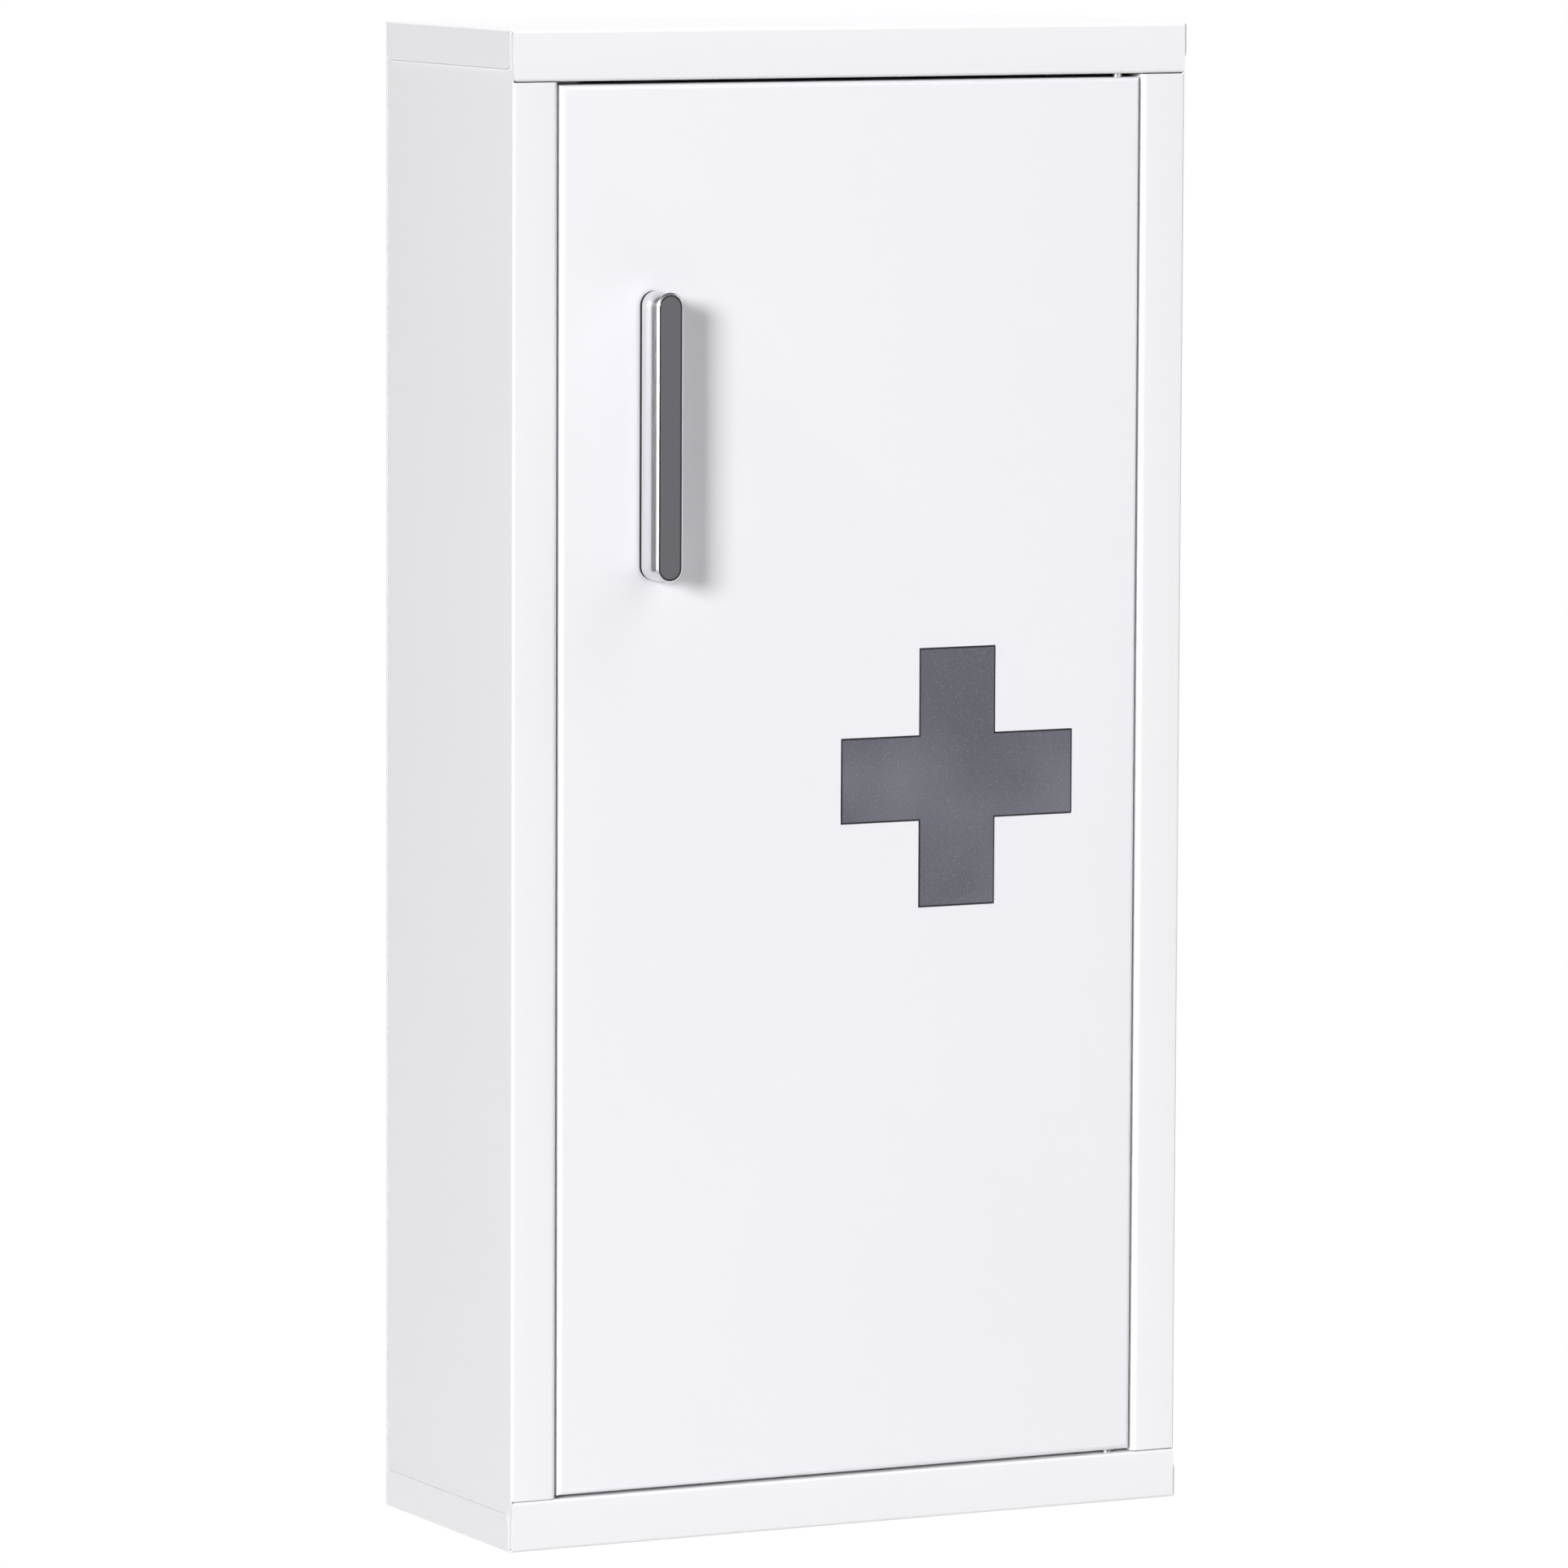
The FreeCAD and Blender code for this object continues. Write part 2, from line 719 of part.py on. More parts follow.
def door_bumpers():
    """Two rubber discs that meet the stop flange when the door is closed."""
    height = door_stop_gap - bumper_gap
    bumper_z = opening_z - bumper_from_end
    return in_groups([rod(stop_x, door_rear_y, z, bumper_radius, height, ALONG_Y)
                      for z in (-bumper_z, bumper_z)])


def build():
    """Make every piece, keyed by its name."""
    cap = tray()
    pieces = {
        "top_cap": cap,
        "bottom_pan": mirrored(cap, ALONG_Z),
        "left_side_panel": left_side_panel(),
        "right_side_panel": right_side_panel(),
        "back_panel": back_panel(),
        "shelf_rails": shelf_rails(),
        "upper_hinge_pin": hinge_pin(opening_z, door_top, -1),
        "lower_hinge_pin": hinge_pin(-opening_z, door_bottom, 1),
        "catch_housing": catch_housing(),
        "catch_magnet": catch_magnet(),
        "catch_pole_plates": catch_pole_plates(),
        "catch_screws": catch_screws(),
        "door_panel": door_panel(),
        "upper_hinge_block": hinge_block(door_top, -1),
        "lower_hinge_block": hinge_block(door_bottom, 1),
        "cross_pane": cross_pane(),
        "pane_studs": pane_studs(),
        "pane_strips": pane_strips(),
        "pane_nuts": pane_nuts(),
        "handle_bar": handle_bar(),
        "handle_inlay": handle_inlay(),
        "handle_gasket": handle_gasket(),
        "handle_backing_plate": handle_backing_plate(),
        "handle_screws": handle_screws(),
        "door_bumpers": door_bumpers(),
    }
    for name, top_z in shelf_heights.items():
        pieces[name] = shelf(top_z)
    return pieces


os.makedirs("parts", exist_ok=True)
for name, shape in build().items():
    shape.exportStep(os.path.join("parts", name + ".step"))
    print(name, len(shape.Solids), "solids,", round(shape.Volume, 1), "mm3, valid", shape.isValid())
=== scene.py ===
# %% [markdown]
# This lesson dresses a wall medicine cabinet for its portrait. The cabinet is a slim case of folded
# sheet steel, 600 mm high, with a door that turns on two pivot pins, a bar handle and a grey
# cross-shaped window. Its construction comes ready as the frame: every sheet, pin and screw is
# there at its real size. What is left to make here is how it looks: the powder coat, the polished
# handle, the small fasteners that show when the door is open, the light and the camera.

# %% Load the frame
import json
import math
import bmesh
import bpy
from mathutils import Matrix, Quaternion, Vector


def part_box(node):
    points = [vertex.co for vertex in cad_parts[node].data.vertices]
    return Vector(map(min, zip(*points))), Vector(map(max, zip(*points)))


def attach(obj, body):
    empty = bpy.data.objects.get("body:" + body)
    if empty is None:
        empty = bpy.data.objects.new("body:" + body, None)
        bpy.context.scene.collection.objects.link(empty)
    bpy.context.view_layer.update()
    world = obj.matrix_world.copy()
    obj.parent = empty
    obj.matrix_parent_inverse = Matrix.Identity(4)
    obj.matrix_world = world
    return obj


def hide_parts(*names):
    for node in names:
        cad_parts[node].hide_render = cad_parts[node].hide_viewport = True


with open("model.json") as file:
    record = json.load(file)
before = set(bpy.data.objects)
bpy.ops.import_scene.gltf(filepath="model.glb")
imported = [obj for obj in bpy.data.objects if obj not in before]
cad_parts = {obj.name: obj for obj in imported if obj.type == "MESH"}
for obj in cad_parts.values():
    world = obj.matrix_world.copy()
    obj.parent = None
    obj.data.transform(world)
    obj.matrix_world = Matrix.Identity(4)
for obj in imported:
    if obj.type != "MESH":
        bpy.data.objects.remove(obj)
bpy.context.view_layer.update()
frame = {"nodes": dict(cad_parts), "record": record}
nodes = frame["nodes"]
MM = 0.001

# %% [markdown]
# A photograph of a product is usually taken from far away with a long lens, so that upright edges
# stay nearly upright. The camera here stands four metres off, a little to the left and above. It
# could be placed by a look-at constraint, but plain angles are easier to read and to change: where
# it aims, how far round and how high it stands, and a quarter of a degree of tilt.

# %% Camera
CAMERA_AIM = Vector((-0.06, -60.0, -6.89)) * MM
CAMERA_DISTANCE = 4075.98 * MM
CAMERA_ROUND = math.radians(-26.588)
CAMERA_ABOVE = math.radians(6.1186)
CAMERA_ROLL = math.radians(0.2469)
LENS = 231.792
SENSOR = 36.0
FARTHEST_SEEN = 50.0


def from_angles(round_angle, above_angle):
    """Give the direction out from the cabinet; angle 0 is straight in front of it."""
    level = math.cos(above_angle)
    return Vector((math.sin(round_angle) * level, -math.cos(round_angle) * level,
                   math.sin(above_angle)))


camera_data = bpy.data.cameras.new("camera")
camera_data.lens = LENS
camera_data.sensor_width = SENSOR
camera_data.clip_end = FARTHEST_SEEN
camera = bpy.data.objects.new("camera", camera_data)
bpy.context.scene.collection.objects.link(camera)
camera_out = from_angles(CAMERA_ROUND, CAMERA_ABOVE)
camera.location = CAMERA_AIM + camera_out * CAMERA_DISTANCE
camera.rotation_mode = "QUATERNION"
roll = Quaternion((0, 0, 1), CAMERA_ROLL)
camera.rotation_quaternion = (-camera_out).to_track_quat("-Z", "Y") @ roll
bpy.context.scene.camera = camera
print("camera at", [round(x, 3) for x in camera.location])

# %% [markdown]
# Colours are chosen as the sRGB hex values that a paint chart or a picture editor shows. Blender
# mixes light in linear numbers, so one function turns a hex value to linear. Another adds a node to
# a material with its settings and its links in one call, which keeps each recipe short.

# %% Colour and node helpers
def colour(hex_value, share=1.0):
    """Turn an sRGB hex value such as "F1F1F4" to a linear colour with alpha, or a share of it."""
    parts = [int(hex_value[i:i + 2], 16) / 255 for i in (0, 2, 4)]
    linear = [c / 12.92 if c <= 0.04045 else ((c + 0.055) / 1.055) ** 2.4 for c in parts]
    return (*[c * share for c in linear], 1.0)


def add_node(tree, kind, settings=(), inputs=(), links=()):
    """Add a node: settings are its own properties, inputs its values, links its sources."""
    node = tree.nodes.new(kind)
    for name, value in dict(settings).items():
        setattr(node, name, value)
    for name, value in dict(inputs).items():
        node.inputs[name].default_value = value
    for name, source in dict(links).items():
        tree.links.new(source, node.inputs[name])
    return node


def new_material(name, **values):
    """Start a material and give its Principled shader its plain values."""
    material = bpy.data.materials.new(name)
    material.use_nodes = True
    shader = material.node_tree.nodes["Principled BSDF"]
    for socket, value in values.items():
        shader.inputs[socket.replace("_", " ")].default_value = value
    return material, material.node_tree, shader


def per_metre(size_mm):
    """Give the texture scale whose features are about so many millimetres across."""
    return 1 / (size_mm * MM)


# The Mix node has one set of sockets for each kind of data, so its colours are reached by number.
MIX_A, MIX_B, MIXED = 6, 7, 2

# %% [markdown]
# The case and the door are sheet steel with a white powder coat. The powder is sprayed on dry and
# baked, and as it melts it draws into a faint orange peel, about two millimetres from crest to
# crest and a few thousandths high. It could be left as plain gloss white, but the peel is what
# makes the shine of real powder coat soft and slightly uneven. A noise texture drives a bump for it,
# and a second, broader one varies the roughness, as the thickness of the coat varies.

# %% Powder coat
PEEL_SIZE = 2.2
PEEL_HEIGHT = 0.004
COAT_DRIFT_SIZE = 90.0
COAT_GLOSS_DRIFT = 0.04
THIN_COAT = 0.985


def powder_coat(name, hex_value, roughness):
    """White powder coat on steel: fine orange peel and a slow drift in its gloss."""
    material, tree, shader = new_material(name, IOR=1.5)
    points = add_node(tree, "ShaderNodeTexCoord").outputs["Object"]
    peel = add_node(tree, "ShaderNodeTexNoise", inputs={"Scale": per_metre(PEEL_SIZE), "Detail": 1.5},
                    links={"Vector": points})
    bump = add_node(tree, "ShaderNodeBump", inputs={"Distance": PEEL_HEIGHT * MM, "Strength": 1.0},
                    links={"Height": peel.outputs["Fac"]})
    drift = add_node(tree, "ShaderNodeTexNoise",
                     inputs={"Scale": per_metre(COAT_DRIFT_SIZE), "Detail": 2.0},
                     links={"Vector": points})
    gloss = add_node(tree, "ShaderNodeMapRange",
                     inputs={"To Min": roughness - COAT_GLOSS_DRIFT, "To Max": roughness + COAT_GLOSS_DRIFT},
                     links={"Value": drift.outputs["Fac"]})
    tint = add_node(tree, "ShaderNodeMix", settings={"data_type": "RGBA"},
                    inputs={MIX_A: colour(hex_value, THIN_COAT), MIX_B: colour(hex_value)},
                    links={"Factor": drift.outputs["Fac"]})
    tree.links.new(tint.outputs[MIXED], shader.inputs["Base Color"])
    tree.links.new(gloss.outputs["Result"], shader.inputs["Roughness"])
    tree.links.new(bump.outputs["Normal"], shader.inputs["Normal"])
    return material


case_coat = powder_coat("powder_coat_case", "EFEFF1", 0.38)
door_coat = powder_coat("powder_coat_door", "EFEEF3", 0.34)
print("powder coat peel", PEEL_SIZE, "mm across")

# %% [markdown]
# The first renders need the floor and the light, so they come early. The photograph was taken in a
# studio: a large soft lamp on the left makes the one clear shadow, beside the handle, and broad
# weak light from the front, from above and from behind fills the rest. The lamps stand far off, so that they light the
# whole door evenly. The background is plain white, and polished metal mirrors it where it faces the
# back of the room; towards the photographer the room is darker, which is what draws dark shapes on
# chrome. A white wall on the left draws the bright line on its edges, and a grey drape hung behind
# it keeps the cabinet's side darker than its front.

# %% Floor, lamps and world
FLOOR_DROP = 1.3
FLOOR_SIZE = 4.0
LAMP_DISTANCE = 14.0

floor_mesh = bpy.data.meshes.new("floor")
floor_build = bmesh.new()
bmesh.ops.create_grid(floor_build, x_segments=1, y_segments=1, size=FLOOR_SIZE / 2)
bmesh.ops.translate(floor_build, vec=(0, 0, -FLOOR_DROP), verts=floor_build.verts)
floor_build.to_mesh(floor_mesh)
floor_build.free()
floor = bpy.data.objects.new("floor", floor_mesh)
bpy.context.scene.collection.objects.link(floor)
floor_finish, floor_tree, floor_shader = new_material("pale_floor", Roughness=0.9)
floor_shader.inputs["Base Color"].default_value = colour("DADADA")
floor_mesh.materials.append(floor_finish)


def soft_lamp(name, round_angle, above_angle, spread, light, mirrored=True):
    """A square lamp that faces the cabinet from a direction. Spread is how many degrees wide it
    looks, and light is how bright it makes a white surface that faces it, where 1 is full white."""
    data = bpy.data.lights.new(name, "AREA")
    data.shape = "SQUARE"
    data.size = 2 * LAMP_DISTANCE * math.tan(math.radians(spread / 2))
    data.energy = light * math.pi * math.pi * LAMP_DISTANCE ** 2
    lamp = bpy.data.objects.new(name, data)
    bpy.context.scene.collection.objects.link(lamp)
    out = from_angles(math.radians(round_angle), math.radians(above_angle))
    lamp.matrix_world = (Matrix.Translation(out * LAMP_DISTANCE)
                         @ (-out).to_track_quat("-Z", "Y").to_matrix().to_4x4())
    lamp.visible_camera = False
    lamp.visible_glossy = mirrored
    return lamp


soft_lamp("key_lamp", -55.3, 13.2, 15.0, 1.03)
soft_lamp("fill_lamp", 26.0, 20.0, 50.0, 0.38)
soft_lamp("top_lamp", 90.0, 60.0, 40.0, 0.87, mirrored=False)
soft_lamp("back_lamp", 152.0, 6.0, 40.0, 0.6, mirrored=False)

WORLD_LIGHT = 0.02
STUDIO_DARK, STUDIO_WHITE = 0.15, 1.0
WHITE_BEGINS, WHITE_ENDS = 0.05, 0.5
DRAPE_ENDS, DRAPE_BEGINS = 0.1, -0.4
LEFT_WALL_FROM, LEFT_WALL_FULL = 0.38, 0.44
world = bpy.data.worlds.new("studio")
bpy.context.scene.world = world
world.use_nodes = True
world_tree = world.node_tree
world_tree.nodes.clear()
rays = add_node(world_tree, "ShaderNodeLightPath")
looking = add_node(world_tree, "ShaderNodeTexCoord").outputs["Generated"]
direction = add_node(world_tree, "ShaderNodeSeparateXYZ", links={"Vector": looking})
behind = add_node(world_tree, "ShaderNodeMapRange", settings={"interpolation_type": "SMOOTHSTEP"},
                  inputs={"From Min": WHITE_BEGINS, "From Max": WHITE_ENDS},
                  links={"Value": direction.outputs["Y"]})
past_the_drape = add_node(world_tree, "ShaderNodeMapRange",
                          inputs={"From Min": DRAPE_BEGINS, "From Max": DRAPE_ENDS},
                          links={"Value": direction.outputs["X"]})
backdrop = add_node(world_tree, "ShaderNodeMath", settings={"operation": "MULTIPLY"},
                    links={0: behind.outputs["Result"], 1: past_the_drape.outputs["Result"]})
in_front = add_node(world_tree, "ShaderNodeMapRange",
                    inputs={"From Min": -LEFT_WALL_FROM, "From Max": -LEFT_WALL_FULL},
                    links={"Value": direction.outputs["Y"]})
on_the_left = add_node(world_tree, "ShaderNodeMath", settings={"operation": "LESS_THAN"},
                       inputs={1: -0.3}, links={0: direction.outputs["X"]})
left_wall = add_node(world_tree, "ShaderNodeMath", settings={"operation": "MULTIPLY"},
                     links={0: in_front.outputs["Result"], 1: on_the_left.outputs["Value"]})
white_parts = add_node(world_tree, "ShaderNodeMath", settings={"operation": "MAXIMUM"},
                       links={0: backdrop.outputs["Value"], 1: left_wall.outputs["Value"]})
mirrored = add_node(world_tree, "ShaderNodeMapRange",
                    inputs={"To Min": STUDIO_DARK, "To Max": STUDIO_WHITE},
                    links={"Value": white_parts.outputs["Value"]})
for_glossy = add_node(world_tree, "ShaderNodeMix", inputs={"A": WORLD_LIGHT},
                      links={"Factor": rays.outputs["Is Glossy Ray"], "B": mirrored.outputs["Result"]})
seen = add_node(world_tree, "ShaderNodeMath", settings={"operation": "MAXIMUM"},
                links={0: rays.outputs["Is Camera Ray"], 1: rays.outputs["Is Transmission Ray"]})
level = add_node(world_tree, "ShaderNodeMix", inputs={"B": 1.0},
                 links={"Factor": seen.outputs["Value"], "A": for_glossy.outputs["Result"]})
sky = add_node(world_tree, "ShaderNodeBackground", inputs={"Color": (1, 1, 1, 1)},
               links={"Strength": level.outputs["Result"]})
add_node(world_tree, "ShaderNodeOutputWorld", links={"Surface": sky.outputs["Background"]})
bpy.context.scene.view_settings.view_transform = "Standard"

# %% [markdown]
# Most of the small pieces here are round, or nearly: a bar with round ends, screws, nuts, pins and
# rubber feet. All of them can be made the same way, as a stack of rings. The first ring is a circle,
# and each ring after it is extruded from the one before. A rule gives how far out and how high each
# of its points goes, so that a ring can also become a hexagon or a plus. A lathe profile turned by
# the spin operator would do for the plain round ones, but not for the rest.

# %% Rings and pieces
ROUND_SEGMENTS = 24


def of_kind(parts, kind):
    """Pick the points, edges or faces out of what an operator gives back."""
    return [part for part in parts if isinstance(part, kind)]


def stacked(steps, segments=ROUND_SEGMENTS, closed=True):
    """Stack rings round Z. A step is how far out and how high a ring goes, in millimetres, and
    either may be a rule that depends on the angle."""
    build = bmesh.new()
    points = bmesh.ops.create_circle(build, segments=segments, radius=1.0)["verts"]
    edges = build.edges[:]
    rings = [edges]
    for number, (reach, height) in enumerate(steps):
        if number:
            made = bmesh.ops.extrude_edge_only(build, edges=edges)["geom"]
            points = of_kind(made, bmesh.types.BMVert)
            edges = [edge for edge in of_kind(made, bmesh.types.BMEdge) if set(edge.verts) <= set(points)]
            rings.append(edges)
        for point in points:
            angle = math.atan2(point.co.y, point.co.x)
            out = reach(angle) if callable(reach) else reach
            up = height(angle) if callable(height) else height
            point.co = Vector((math.cos(angle) * out, math.sin(angle) * out, up)) * MM
    if closed:
        for end in (rings[0], rings[-1]):
            bmesh.ops.contextual_create(build, geom=end)
    bmesh.ops.recalc_face_normals(build, faces=build.faces)
    return build


def placed(build, place, facing):
    """Turn what was built along Z to face a direction and put it at a place in millimetres."""
    turn = Vector((0, 0, 1)).rotation_difference(Vector(facing)).to_matrix().to_4x4()
    bmesh.ops.transform(build, matrix=Matrix.Translation(Vector(place) * MM) @ turn, verts=build.verts)
    return build


def dressed(name, build, body, finish, replaced=(), crease=30.0):
    """Make a built mesh a piece of the cabinet, with its finish and what it rides on."""
    mesh = bpy.data.meshes.new(name)
    build.to_mesh(mesh)
    build.free()
    mesh.shade_smooth()
    mesh.set_sharp_from_angle(angle=math.radians(crease))
    mesh.materials.append(finish)
    piece = bpy.data.objects.new(name, mesh)
    bpy.context.scene.collection.objects.link(piece)
    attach(piece, body)
    if replaced:
        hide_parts(*replaced)
    print(name, len(mesh.polygons), "faces")
    return piece


# %% [markdown]
# The bar handle is bright plated metal: its long side mirrors the white door, the rounded shoulder
# runs to grey where it mirrors the room, and the bevels catch the lamp as white lines. A polished
# plate is never a perfect mirror, since the wheel leaves a haze of fine lines along the bar. They
# are drawn with a noise that is stretched twenty times along Z.

# %% Polished chrome
POLISH_LINE = 0.35
POLISH_LENGTH = 9.0
POLISH_DEPTH = 0.0004


def polished_metal(name, hex_value, roughness):
    """Bright plated metal with faint polishing lines along Z."""
    material, tree, shader = new_material(name, Metallic=1.0)
    shader.inputs["Base Color"].default_value = colour(hex_value)
    points = add_node(tree, "ShaderNodeTexCoord").outputs["Object"]
    across, along = per_metre(POLISH_LINE), per_metre(POLISH_LENGTH)
    lines = add_node(tree, "ShaderNodeMapping", inputs={"Scale": (across, across, along)},
                     links={"Vector": points})
    haze = add_node(tree, "ShaderNodeTexNoise", inputs={"Scale": 1.0, "Detail": 2.0},
                    links={"Vector": lines.outputs["Vector"]})
    gloss = add_node(tree, "ShaderNodeMapRange",
                     inputs={"To Min": roughness * 0.7, "To Max": roughness * 1.3},
                     links={"Value": haze.outputs["Fac"]})
    bump = add_node(tree, "ShaderNodeBump", inputs={"Distance": POLISH_DEPTH * MM, "Strength": 1.0},
                    links={"Height": haze.outputs["Fac"]})
    tree.links.new(gloss.outputs["Result"], shader.inputs["Roughness"])
    tree.links.new(bump.outputs["Normal"], shader.inputs["Normal"])
    return material


handle_chrome = polished_metal("chrome_plate_polished", "E8E8EA", 0.24)

# %% [markdown]
# The face of the handle holds a dark strip of anodised aluminium. Anodising leaves a satin grain so
# fine that it reads as one tone with a soft sheen. The grain is drawn at 0.4 mm, coarser than the
# real one, because at its real size it wouldn't show in the render. Below the face the strip's sides
# and the ledge round it are painted black: painted shade for the narrow gap round the strip.

# %% Anodised aluminium
INLAY_GRAIN = 0.4
# How far behind the face, in millimetres, the painted shade of the gap begins and is full.
SHADE_PAINT_BELOW, SHADE_PAINT_FULL = 0.07, 0.12
face_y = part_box("handle_bar")[0].y


def anodised_metal(name, hex_value, roughness):
    """Dark anodised aluminium with a fine satin grain, painted black below its face as shade in the gap."""
    material, tree, shader = new_material(name, IOR=1.6)
    points = add_node(tree, "ShaderNodeTexCoord").outputs["Object"]
    grain = add_node(tree, "ShaderNodeTexNoise",
                     inputs={"Scale": per_metre(INLAY_GRAIN), "Detail": 2.0}, links={"Vector": points})
    tone = add_node(tree, "ShaderNodeMix", settings={"data_type": "RGBA"},
                    inputs={MIX_A: colour(hex_value, 0.92), MIX_B: colour(hex_value, 1.08)},
                    links={"Factor": grain.outputs["Fac"]})
    gloss = add_node(tree, "ShaderNodeMapRange",
                     inputs={"To Min": roughness - 0.05, "To Max": roughness + 0.05},
                     links={"Value": grain.outputs["Fac"]})
    depth = add_node(tree, "ShaderNodeSeparateXYZ", links={"Vector": points}).outputs["Y"]
    # Painted shade: behind the face the colour turns near black, standing in for the shade in the narrow gap round the
    # strip.
    painted_gap_shade = add_node(tree, "ShaderNodeMapRange",
                    inputs={"From Min": face_y + SHADE_PAINT_BELOW * MM, "From Max": face_y + SHADE_PAINT_FULL * MM},
                    links={"Value": depth})
    with_painted_gap_shade = add_node(tree, "ShaderNodeMix", settings={"data_type": "RGBA"},
                     inputs={MIX_B: colour("08080A")},
                     links={"Factor": painted_gap_shade.outputs["Result"], MIX_A: tone.outputs[MIXED]})
    tree.links.new(with_painted_gap_shade.outputs[MIXED], shader.inputs["Base Color"])
    tree.links.new(gloss.outputs["Result"], shader.inputs["Roughness"])
    return material


dark_inlay = anodised_metal("anodised_aluminium_dark", "5B5B61", 0.5)

# %% [markdown]
# The handle is a solid bar with round ends on a black gasket. Its grip is flat beside the door,
# rounds in to a finger groove and ends under a thin face plate, whose bevelled edge is what shines.
# Each step of the section is a round ring at first, so the whole stack looks like a knob. Then its
# upper half is moved up and its lower half down, which stretches every ring to a stadium and the
# knob to a bar.

# %% Handle
HANDLE_SEGMENTS = 96
FOOT_BEVEL = 0.4
GRIP_FLAT = 3.6
SHOULDER_RADIUS = 8.0
SHOULDER_TURN = math.radians(36)
SHOULDER_STEPS = 12
GROOVE_SLOPE = 0.95
PLATE_THICKNESS = 0.8
PLATE_BEVEL = 0.75
INLAY_RIM = 0.05
# The strip's base stands clear of the rim and steps in to a ledge; its sides and the ledge are painted black as shade.
INLAY_CLEARANCE = 0.02
SHADED_LEDGE_WIDTH = 0.68
SHADED_LEDGE_DEPTH = 0.2
INLAY_EDGE = 0.06
GASKET_EDGE = 0.15
LAP_GAP = 0.05
FRONT = (0, -1, 0)
handle_low, handle_high = [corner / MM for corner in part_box("handle_bar")]
inlay_low, inlay_high = [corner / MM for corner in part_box("handle_inlay")]
handle_half = (handle_high.x - handle_low.x) / 2
handle_straight = (handle_high.z - handle_low.z) / 2 - handle_half
handle_depth = handle_high.y - handle_low.y
inlay_depth = inlay_high.y - inlay_low.y


def stadium_stack(steps, low, high):
    """Stack rings on the foot of a box and stretch them to stadiums. A step is how far in from the
    handle's widest outline a ring lies, and how far in front of the foot."""
    build = stacked([(handle_half - inset, forward) for inset, forward in steps], HANDLE_SEGMENTS)
    off_the_split = Matrix.Rotation(math.pi / HANDLE_SEGMENTS, 3, "Z")
    bmesh.ops.rotate(build, matrix=off_the_split, verts=build.verts)
    placed(build, (0, 0, 0), FRONT)
    for side in (1, -1):
        half = [point for point in build.verts if point.co.z * side > 0]
        bmesh.ops.translate(build, vec=(0, 0, side * handle_straight * MM), verts=half)
    foot = Vector(((low.x + high.x) / 2, high.y, (low.z + high.z) / 2))
    bmesh.ops.translate(build, vec=foot * MM, verts=build.verts)
    return build


def shoulder_steps():
    """Give each step round the shoulder, from the flat of the grip to the floor of the groove."""
    turns = [SHOULDER_TURN * step / SHOULDER_STEPS for step in range(SHOULDER_STEPS + 1)]
    steps = [(SHOULDER_RADIUS * (1 - math.cos(turn)), GRIP_FLAT + SHOULDER_RADIUS * math.sin(turn))
             for turn in turns]
    inset, forward = steps[-1]
    return steps + [(inset + GROOVE_SLOPE * math.tan(SHOULDER_TURN), forward + GROOVE_SLOPE)]


shoulder = shoulder_steps()
groove_inset = shoulder[-1][0]
handle_steps = [(FOOT_BEVEL, 0.0), (0.0, FOOT_BEVEL)] + shoulder + [
    (groove_inset, handle_depth - PLATE_THICKNESS),
    (0.0, handle_depth - PLATE_THICKNESS),
    (0.0, handle_depth - PLATE_BEVEL),
    (PLATE_BEVEL, handle_depth),
    (PLATE_BEVEL + INLAY_RIM, handle_depth),
    (PLATE_BEVEL + INLAY_RIM, handle_depth - inlay_depth - LAP_GAP),
]
handle_build = stadium_stack(handle_steps, handle_low, handle_high)
dressed("polished_bar_handle", handle_build, "door", handle_chrome, ["handle_bar"],
        crease=20.0)

inlay_base_inset = PLATE_BEVEL + INLAY_RIM + INLAY_CLEARANCE
inlay_inset = inlay_base_inset + SHADED_LEDGE_WIDTH
inlay_steps = [(inlay_base_inset, 0.0), (inlay_base_inset, inlay_depth - SHADED_LEDGE_DEPTH),
               (inlay_inset, inlay_depth - SHADED_LEDGE_DEPTH), (inlay_inset, inlay_depth - INLAY_EDGE),
               (inlay_inset + INLAY_EDGE, inlay_depth)]
inlay_build = stadium_stack(inlay_steps, inlay_low, inlay_high)
dressed("dark_handle_inlay", inlay_build, "door", dark_inlay, ["handle_inlay"])

# %% [markdown]
# The grey cross is a pane of cast acrylic with a satin surface, set from behind so that its raised
# cross fills the cut-out. Its lighter and darker clouds, some centimetres across, are painted
# reflection: they stand in for the soft reflections of the room in the satin face. Fine dust in the
# casting shows as pale specks. Two noises draw them, a broad one for the clouds and a fine one whose
# peaks alone are let through for the specks. Along the rim of its face a fine dark line is drawn in
# the colour. How far a point lies inside the plus is worked out from two bars, one upright and one
# level: in each it is the smaller distance to a side, and the larger of the two holds.

# %% Smoke acrylic
REFLECTION_PATCH_SIZE = 70.0
REFLECTION_PATCH_PLACE = (900.0, 300.0, 300.0)
SPECK_SIZE = 0.45
SPECK_LEVEL = 0.62
SPECK_STRENGTH = 0.5
CROSS_X = 47.4
CROSS_REACH = 51.85
CROSS_ARM = 16.9
RIM_WIDTH = 0.45
RIM_BEHIND = 0.4
pane_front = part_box("cross_pane")[0].y


